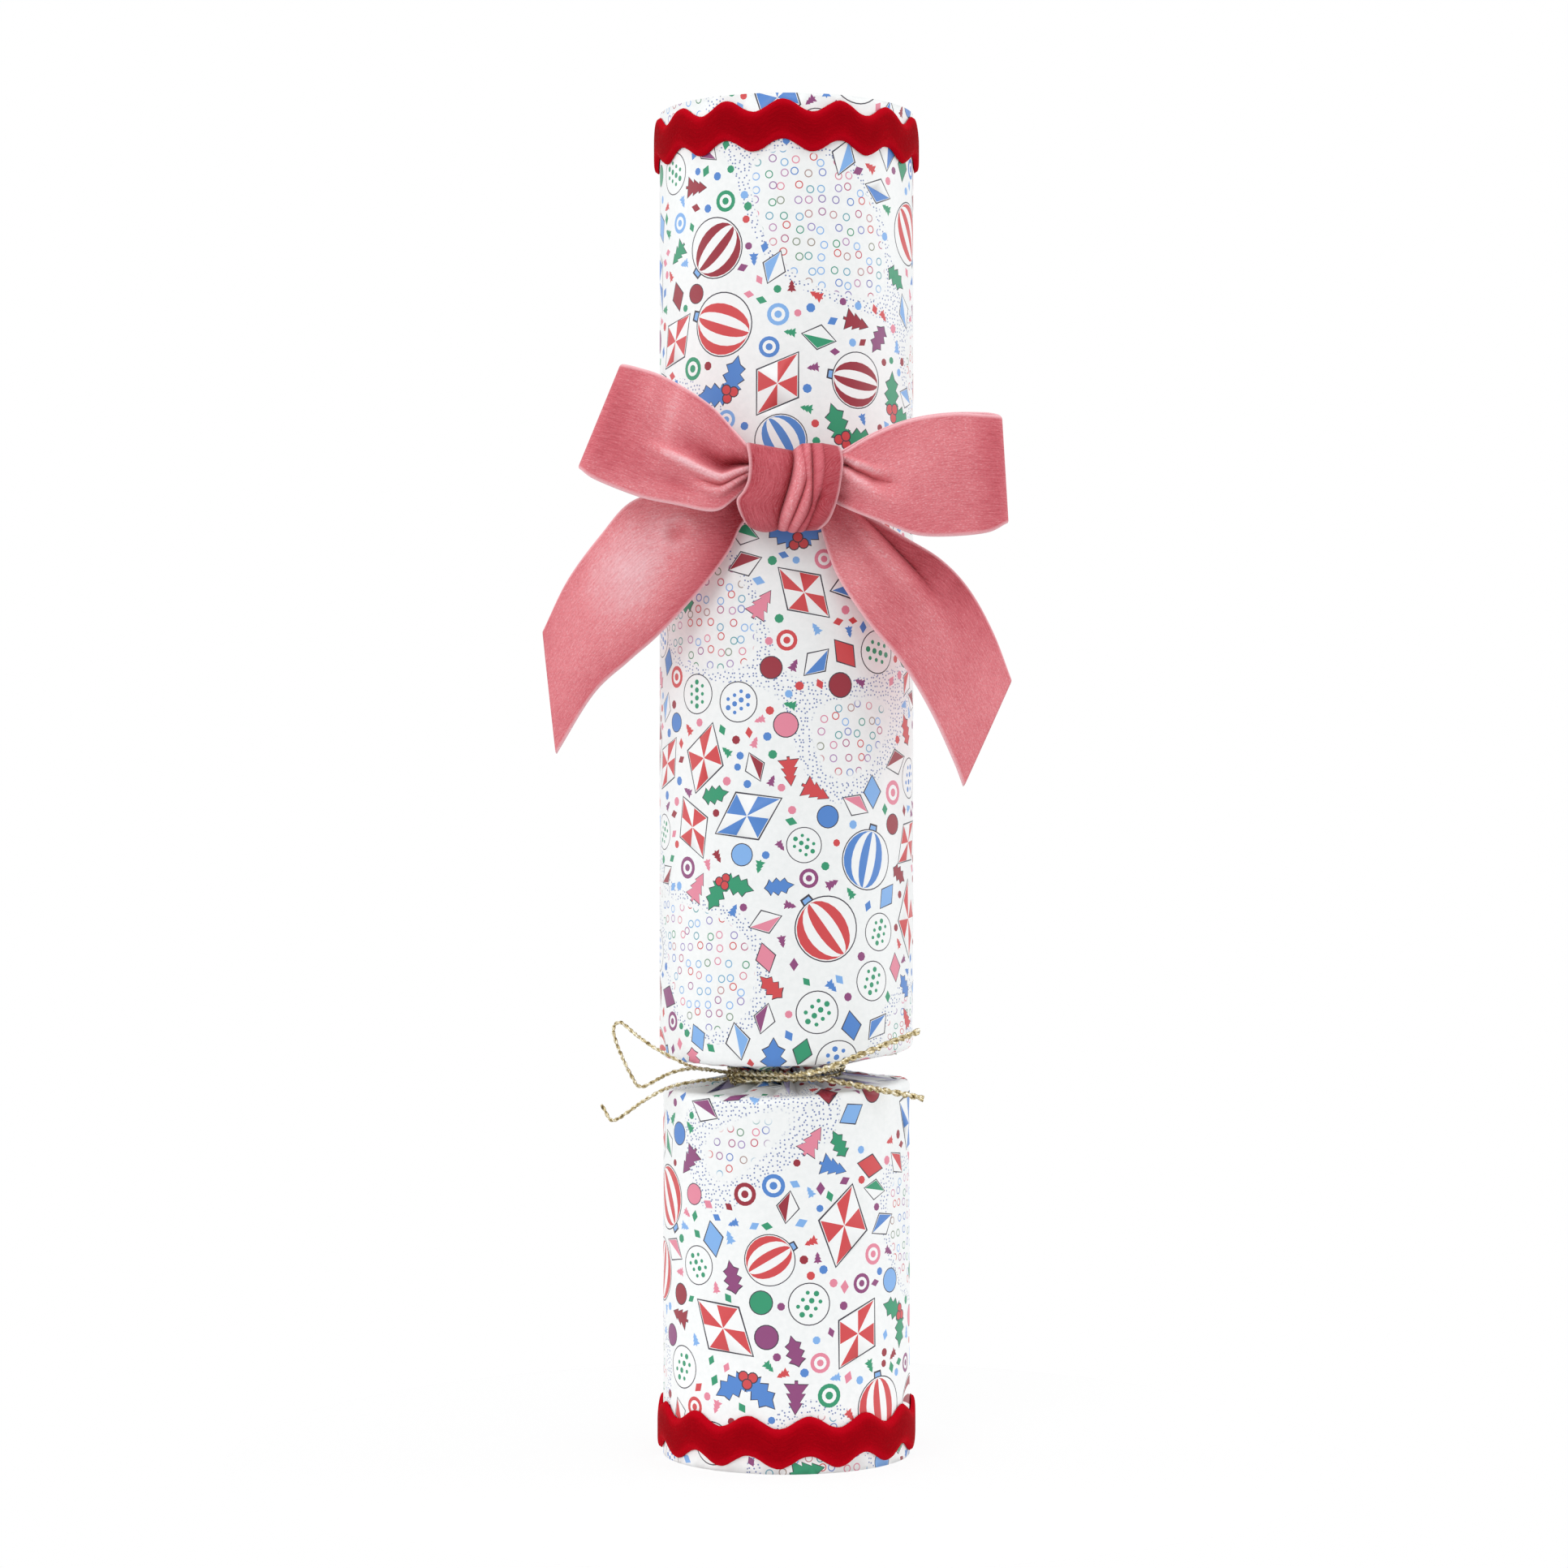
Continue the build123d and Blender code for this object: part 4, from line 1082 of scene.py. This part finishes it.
bow_tail(
    "velvet_tail_right",
    [(9.6, -1.6), (15.0, -5.0), (25.4, -11.1), (33.7, -16.0), (40.0, -22.4), (45.3, -31.5), (49.5, -42.0)],
    [(6.9, -7.4), (7.8, -11.0), (10.9, -19.9), (17.4, -29.8), (25.0, -38.9), (31.2, -49.0), (36.3, -59.7),
     (38.6, -65.5)],
    right_tail, "bow_tail_right",
)


def bow_knot():
    """Ribbon wrapped once round the middle of the bow, in two broad panels with narrow pleats between."""
    lines = [
        [(-8.7, 7.9), (-8.0, 3.8), (-8.2, 0.0), (-9.2, -2.5), (-10.6, -4.5), (-9.9, -6.9), (-8.5, -8.9)],
        [(1.4, 6.1), (1.6, 3.8), (1.2, 1.0), (0.4, -2.0), (-0.6, -5.1), (-1.4, -7.6), (-1.9, -9.9)],
        [(3.4, 7.6), (3.9, 3.8), (4.2, 1.0), (4.0, -1.0), (3.2, -3.6), (1.8, -7.0), (0.2, -10.2)],
        [(5.2, 7.7), (5.4, 5.2), (5.5, 2.0), (5.6, -2.0), (5.2, -5.4), (4.0, -8.2), (2.2, -10.4)],
        [(7.6, 7.7), (8.1, 4.0), (8.0, 1.0), (7.4, -2.4), (6.3, -5.8), (5.1, -8.6), (3.8, -10.2)],
        [(11.4, 7.0), (12.0, 4.0), (11.7, 0.7), (11.1, -3.1), (10.3, -5.8), (9.0, -8.4), (7.1, -10.0)],
    ]
    rows = np.linspace(0.0, 1.0, 64)
    edges = [curve_through(line, rows) for line in lines]
    # Panels between the lines: columns, crown, sag at the foot and painted highlight on the panel
    panels = [
        (32, 0.6, 1.1, 0.05), (16, 1.3, 0.3, 0.42), (14, 1.1, 0.4, 0.38), (16, 0.9, 0.3, 0.2),
        (22, 0.8, 0.1, -0.06),
    ]
    flat = []
    crown = []
    shine = []
    for left, right, (count, rise, sag, lift) in zip(edges, edges[1:], panels):
        for s in np.arange(count) / count:
            arch = 4 * s * (1 - s)
            middle = left * (1 - s) + right * s
            middle[:, 1] = middle[:, 1] - sag * arch * rows**4
            flat.append(middle)
            crown.append(rise * arch**0.8)
            shine.append(lift * arch)
    flat = np.stack(flat + [edges[-1]], axis=1)
    depth = -np.array(crown + [0.0])[None, :]
    # Grooves along the inner lines: depth, width and share of the depth down each line
    whole = np.ones_like(rows)
    grooves = [
        (3.4, 0.7, whole), (3.2, 0.5, smooth((rows - 0.3) / 0.2)),
        (3.2, 0.65, whole), (2.4, 0.6, smooth((rows - 0.5) / 0.15)),
    ]
    for line, (deep, width, strength) in zip(edges[1:], grooves):
        away = np.abs(flat[:, :, 0] - line[:, None, 0])
        depth = depth + deep * np.exp(-away / width) * strength[:, None]
    turn = np.linspace(-1.0, 1.0, len(rows))[:, None]
    round_over = np.clip(1.0 - np.abs(turn) ** 2.6, 0.0, 1.0) ** (1 / 2.6)
    front_y = knot_middle_y - (knot_half_depth - depth) * round_over
    front = points_of(flat[:, :, 0], front_y, upper_neck + flat[:, :, 1])
    back_y = knot_middle_y + knot_back_depth * round_over[::-1]
    back = points_of(flat[::-1, :, 0], back_y, upper_neck + flat[::-1, :, 1])[1:-6]
    grid = np.concatenate([front, back], axis=0)
    # Painted light: painted shade in the grooves between the pleats and painted highlights on the panels; the
    # hidden back at one even level
    shade = 0.11 - 0.11 * depth + np.array(shine + [0.0])[None, :]
    painted_light = np.concatenate([shade, np.full(back.shape[:2], 0.2)], axis=0)
    length = run_along(grid[:, 15])[-1] * MM
    velvet_strip("velvet_knot", grid, length, "gathered", "ribbon_neck_band", ["bow_knot"], painted_light)


bow_knot()


def neck_band():
    """Ribbon bunched in three folds round the upper neck, with the gathered stem that the knot sits on."""
    band_radius = 16.9
    theta = np.linspace(0.0, FULL_TURN, 181)[:, None] - math.pi / 2
    p = np.linspace(0.0, 1.0, 40)[None, :]
    ripple = 0.3 * np.sin(9 * theta + 3 * p) + 0.2 * np.sin(23 * theta)
    reach = band_radius + 3.7 * np.cos(3 * math.pi * p) + ripple * 0.6
    up = (-2.2 + 4.4 * p) * (0.75 + 0.25 * (reach - 13.0) / 8.0) + 0.1 * ripple
    grid = round_points(reach, theta, upper_neck + up)
    girth = FULL_TURN * band_radius * MM
    velvet_strip(
        "velvet_neck_band", grid, girth, "gathered", "barrel_wrap", ["ribbon_neck_band"], wall=gathered_wall,
    )
    stem_back, stem_front = -19.8, -31.4
    y = np.linspace(stem_back, stem_front, 16)[:, None]
    turn = np.linspace(0.0, FULL_TURN, 49)[None, :]
    ribs = 1.0 + 0.08 * np.cos(5 * turn)
    across = 5.2 * np.sign(np.cos(turn)) * np.abs(np.cos(turn)) ** 0.6 * ribs
    lift = 2.3 * np.sign(np.sin(turn)) * np.abs(np.sin(turn)) ** 0.6 * ribs
    grid = points_of(across, y, upper_neck + lift)
    length = (stem_back - stem_front) * MM
    velvet_strip("velvet_stem", grid, length, "gathered", "ribbon_neck_band", wall=gathered_wall)


neck_band()


# Gold cord: routes are across, back and up from the middle of the lower neck

def spline_points(name, route):
    """Points of the smooth NURBS curve that a route's points control, in millimetres."""
    data = bpy.data.curves.new(name, "CURVE")
    data.dimensions = "3D"
    spline = data.splines.new("NURBS")
    spline.points.add(len(route) - 1)
    for point, (x, y, z) in zip(spline.points, route):
        point.co = (x * MM, y * MM, (lower_neck + z) * MM, 1.0)
    spline.order_u = 3
    spline.use_endpoint_u = True
    spline.resolution_u = 16
    carrier = bpy.data.objects.new(name, data)
    bpy.context.scene.collection.objects.link(carrier)
    mesh = bpy.data.meshes.new_from_object(carrier)
    points = np.array([tuple(v.co) for v in mesh.vertices]) / MM
    bpy.data.objects.remove(carrier)
    bpy.data.meshes.remove(mesh)
    return points


def side_vectors(line):
    """Two vectors square to a line at each point, carried along without twist."""
    ahead = np.gradient(line, axis=0)
    ahead /= np.linalg.norm(ahead, axis=1, keepdims=True)
    first = np.cross(ahead[0], (0.0, 0.0, 1.0))
    if np.linalg.norm(first) < 0.1:
        first = np.cross(ahead[0], (0.0, 1.0, 0.0))
    firsts = []
    for direction in ahead:
        first = first - direction * np.dot(first, direction)
        first = first / np.linalg.norm(first)
        firsts.append(first)
    firsts = np.array(firsts)
    return firsts, np.cross(ahead, firsts)


def twisted_cord(name, line, cord, node):
    """Two plies twisted round a line, with closed ends."""
    diameter, pitch = cord
    spacing = 0.14
    corners = 8
    run = run_along(line)
    marks = np.linspace(0.0, run[-1], max(int(run[-1] / spacing), 8))
    line = at_marks(marks, run, line)
    first, second = side_vectors(line)
    ply_radius = diameter / 2 * 0.6
    orbit = diameter / 2 - ply_radius * 0.85
    ring = np.linspace(0.0, FULL_TURN, corners, endpoint=False)
    count = len(line) * corners
    vertices = []
    faces = []
    for ply in range(2):
        turn = FULL_TURN * (marks / pitch + ply / 2) + 0.5 * np.sin(marks * 0.9 + ply)
        middle = line + orbit * (first * np.cos(turn)[:, None] + second * np.sin(turn)[:, None])
        swell = 1.0 + 0.06 * np.sin(FULL_TURN * marks / 0.55 + ply) + 0.08 * np.sin(marks * 2.3 + 2 * ply)
        tube = middle[:, None, :] + (ply_radius * swell)[:, None, None] * (
            first[:, None, :] * np.cos(ring)[None, :, None] + second[:, None, :] * np.sin(ring)[None, :, None]
        )
        vertices.append(tube.reshape(-1, 3))
        start = ply * count
        for row in range(start, start + count - corners, corners):
            for j in range(corners):
                a, b = row + j, row + (j + 1) % corners
                faces.append((a, b, b + corners, a + corners))
        faces.append(tuple(range(start, start + corners))[::-1])
        faces.append(tuple(range(start + count - corners, start + count)))
    return make_piece(name, np.vstack(vertices), faces, gold_material, "barrel", [node])


def free_cord(name, cord, node, route):
    """Free stretch of the gold cord."""
    line = spline_points(name + "_route", route)
    piece = twisted_cord(name, line, cord, node)


free_cord("gold_loop_left", thin_cord, "cord_loop_left", [
    (-12.4, -9.8, 0.9), (-16.4, -14.2, 1.7), (-20.6, -18.6, 2.6), (-25.6, -19.2, 5.2), (-30.6, -15.6, 7.7),
    (-34.6, -12.4, 10.5), (-37.0, -10.9, 12.6), (-38.7, -10.4, 10.9), (-37.9, -10.4, 7.7),
    (-36.0, -10.2, 3.2), (-34.4, -10.1, 0.0), (-32.9, -10.0, -2.5), (-30.7, -10.1, -1.9), (-27.4, -10.3, 0.2),
    (-23.6, -10.4, 1.6), (-19.3, -9.9, 1.9), (-15.4, -9.3, 1.2), (-13.0, -8.9, 0.8),
])
free_cord("gold_end_left", thin_cord, "cord_end_left", [
    (-13.2, -8.6, -0.6), (-17.2, -9.4, -0.7), (-21.6, -10.1, -1.2), (-26.4, -10.6, -2.3),
    (-31.0, -10.8, -4.8), (-34.8, -10.7, -7.5), (-37.6, -10.6, -9.6), (-39.2, -10.5, -9.7),
    (-40.0, -10.4, -8.2), (-41.1, -10.3, -6.1),
])
free_cord("gold_end_right_upper", thick_cord, "cord_end_right_upper", [
    (-11.3, -10.3, 0.9), (-5.6, -16.2, 1.2), (-1.6, -21.6, 1.5), (3.4, -27.2, 1.9), (9.4, -30.6, 3.6),
    (16.2, -29.8, 6.5), (22.4, -26.6, 8.6), (29.0, -22.0, 10.9),
])
free_cord("gold_end_right_lower", thick_cord, "cord_end_right_lower", [
    (-10.9, -10.2, -0.7), (-5.2, -15.4, -0.2), (0.6, -18.9, 0.4), (7.0, -21.2, 0.5), (13.2, -22.0, -0.4),
    (19.4, -21.4, -1.9), (25.0, -20.2, -2.8), (30.0, -18.6, -4.2),
])


def neck_winding():
    """Two turns of cord round the lower neck, from knot to knot, and the knot as a trefoil."""
    reach = waist_radius + 0.8
    turn = np.linspace(0.0, 2 * FULL_TURN, 260)
    line = round_points(reach, knot_angle + turn, lower_neck + 1.3 * (turn / FULL_TURN - 1.0))
    line[:, 2] += lower_neck_lean(line[:, 0], line[:, 2])
    twisted_cord("gold_winding", line, winding_cord, "cord_neck_winding")
    t = np.linspace(0.0, FULL_TURN, 160)
    trefoil = points_of(np.sin(t) + 2 * np.sin(2 * t), -np.sin(3 * t), np.cos(t) - 2 * np.cos(2 * t))
    place = np.array([14.4 * math.cos(knot_angle), 14.4 * math.sin(knot_angle), lower_neck])
    twisted_cord("gold_knot", trefoil * 0.56 + place, knot_cord, "cord_knot")


neck_winding()


# Inside pieces

tube_card = plain_sheet("tube_card", (206, 196, 176), (222, 214, 196), 420.0, 0.75)
strip_card = plain_sheet("strip_card", (176, 160, 136), (198, 184, 160), 600.0, 0.78)


def barrel_card():
    """Card rolled inside the barrel, its lower end cut to the lean of the wrap."""
    low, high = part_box("barrel_card")
    wall = 0.8
    reach = high.x / MM - wall / 2
    seam = 0.5 / reach
    theta = np.linspace(math.pi / 2 + seam, math.pi * 5 / 2 - seam, 145)[:, None]
    foot = low.z / MM + lower_neck_lean(reach * np.cos(theta), low.z / MM)
    height = foot + (high.z / MM - foot) * np.linspace(0.0, 1.0, 9)[None, :]
    grid = round_points(reach, theta, height)
    thick_sheet("barrel_card_roll", grid, wall, tube_card, "barrel", ["barrel_card"], edge_width=0.05)


barrel_card()

# CAD nodes that keep their shape and get a finish of their own
finishes = {
    "upper_end_card": tube_card,
    "lower_end_card": tube_card,
    "upper_snap_strip": strip_card,
    "lower_snap_strip": strip_card,
    "snap_abrasive_pad": plain_sheet("gritty_paper", (84, 56, 42), (126, 88, 66), 2600.0, 0.9),
    "snap_powder_pad": plain_sheet("coated_paper", (150, 146, 140), (182, 178, 170), 1900.0, 0.85),
    "snap_sleeve": plain_sheet("thin_paper", (214, 210, 198), (230, 226, 216), 700.0, 0.7),
    "wooden_skittle": turned_wood(),
}
for node, finish in finishes.items():
    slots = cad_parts[node].data.materials
    slots.clear()
    slots.append(finish)


def paper_roll(name, node, layer_pitch, turns, layer, notch_count, notch_depth, material, body):
    """Rolled sheet of paper with a spiral section; notches cut points into its top edge."""
    low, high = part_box(node)
    middle = (low + high) / 2 / MM
    outer = (high.x - low.x) / 2 / MM - layer
    height = (high.z - low.z) / MM
    turn = np.linspace(0.0, FULL_TURN * turns, int(turns * 60) + 1)[:, None]
    up = np.linspace(0.0, 1.0, 25)[None, :]
    reach = outer - layer_pitch * turn / FULL_TURN + 0.12 * np.sin(5 * turn) * up
    run = np.cumsum(np.concatenate([[0.0], np.abs(np.diff(turn[:, 0])) * reach[1:, 0]]))[:, None]
    point = np.abs((run / run[-1] * notch_count) % 1.0 - 0.5) * 2 if notch_count else 0.0
    tall = height - notch_depth * point
    grid = round_points(reach, turn, low.z / MM + tall * up) + (middle.x, middle.y, 0.0)
    piece = thick_sheet(name, grid, layer, material, body, [node], edge_width=0.2)


paper_roll(
    "tissue_crown", "paper_crown", 1.6, 3.6, 0.4, 14, 9.0,
    plain_sheet("tissue", (186, 30, 38), (206, 48, 54), 500.0, 0.7), "crown",
)
paper_roll(
    "motto_roll", "motto_slip", 0.7, 3.6, 0.25, 0, 0.0,
    plain_sheet("slip_paper", (226, 222, 208), (238, 236, 226), 600.0, 0.65), "motto",
)


# Stage, light and camera

def studio():
    """White world, a clear floor that keeps a faint shadow, even light and the photograph's camera."""
    scene = bpy.context.scene
    scene.view_settings.view_transform = "Standard"
    look = Look(bpy.data.materials.new("clear_floor"))
    look.set({"Base Color": (0.94, 0.94, 0.94, 1.0), "Roughness": 0.9})
    mix = look.node("MixShader")
    look.feed(mix.inputs[0], look.maths("MULTIPLY", look.seen(), floor_clearness))
    look.feed(mix.inputs[1], look.shader.outputs[0])
    look.feed(mix.inputs[2], look.node("BsdfTransparent").outputs[0])
    look.feed(look.tree.nodes["Material Output"].inputs["Surface"], mix.outputs[0])
    mesh = bpy.data.meshes.new("floor")
    corners = [(x, y, 0.0) for x, y in ring_points(floor_radius, 96)]
    mesh.from_pydata(corners, [], [tuple(range(len(corners)))])
    mesh.materials.append(look.owner)
    floor = bpy.data.objects.new("floor", mesh)
    scene.collection.objects.link(floor)

    scene.world = bpy.data.worlds.new("studio")
    sky = Look(scene.world)
    background = sky.tree.nodes["Background"]
    background.inputs["Color"].default_value = (1.0, 1.0, 1.0, 1.0)
    sky.feed(background.inputs["Strength"], sky.span(sky.seen(), 0.0, 1.0, ambient, 1.0))

    for name, place, size, power in lamps:
        data = bpy.data.lights.new(name, "AREA")
        data.size = size
        data.energy = power
        lamp = bpy.data.objects.new(name, data)
        lamp.location = place
        aim = Vector(lamp_aim) - Vector(place)
        lamp.rotation_euler = aim.to_track_quat("-Z", "Y").to_euler()
        scene.collection.objects.link(lamp)

    data = bpy.data.cameras.new("camera")
    data.sensor_width = sensor_width
    data.lens = focal_pixels / photo_pixels * sensor_width
    data.clip_start = 0.01
    camera = bpy.data.objects.new("camera", data)
    camera.location = Vector(camera_place) * MM
    camera.rotation_euler = (math.pi / 2, 0.0, 0.0)
    scene.collection.objects.link(camera)
    scene.camera = camera


studio()
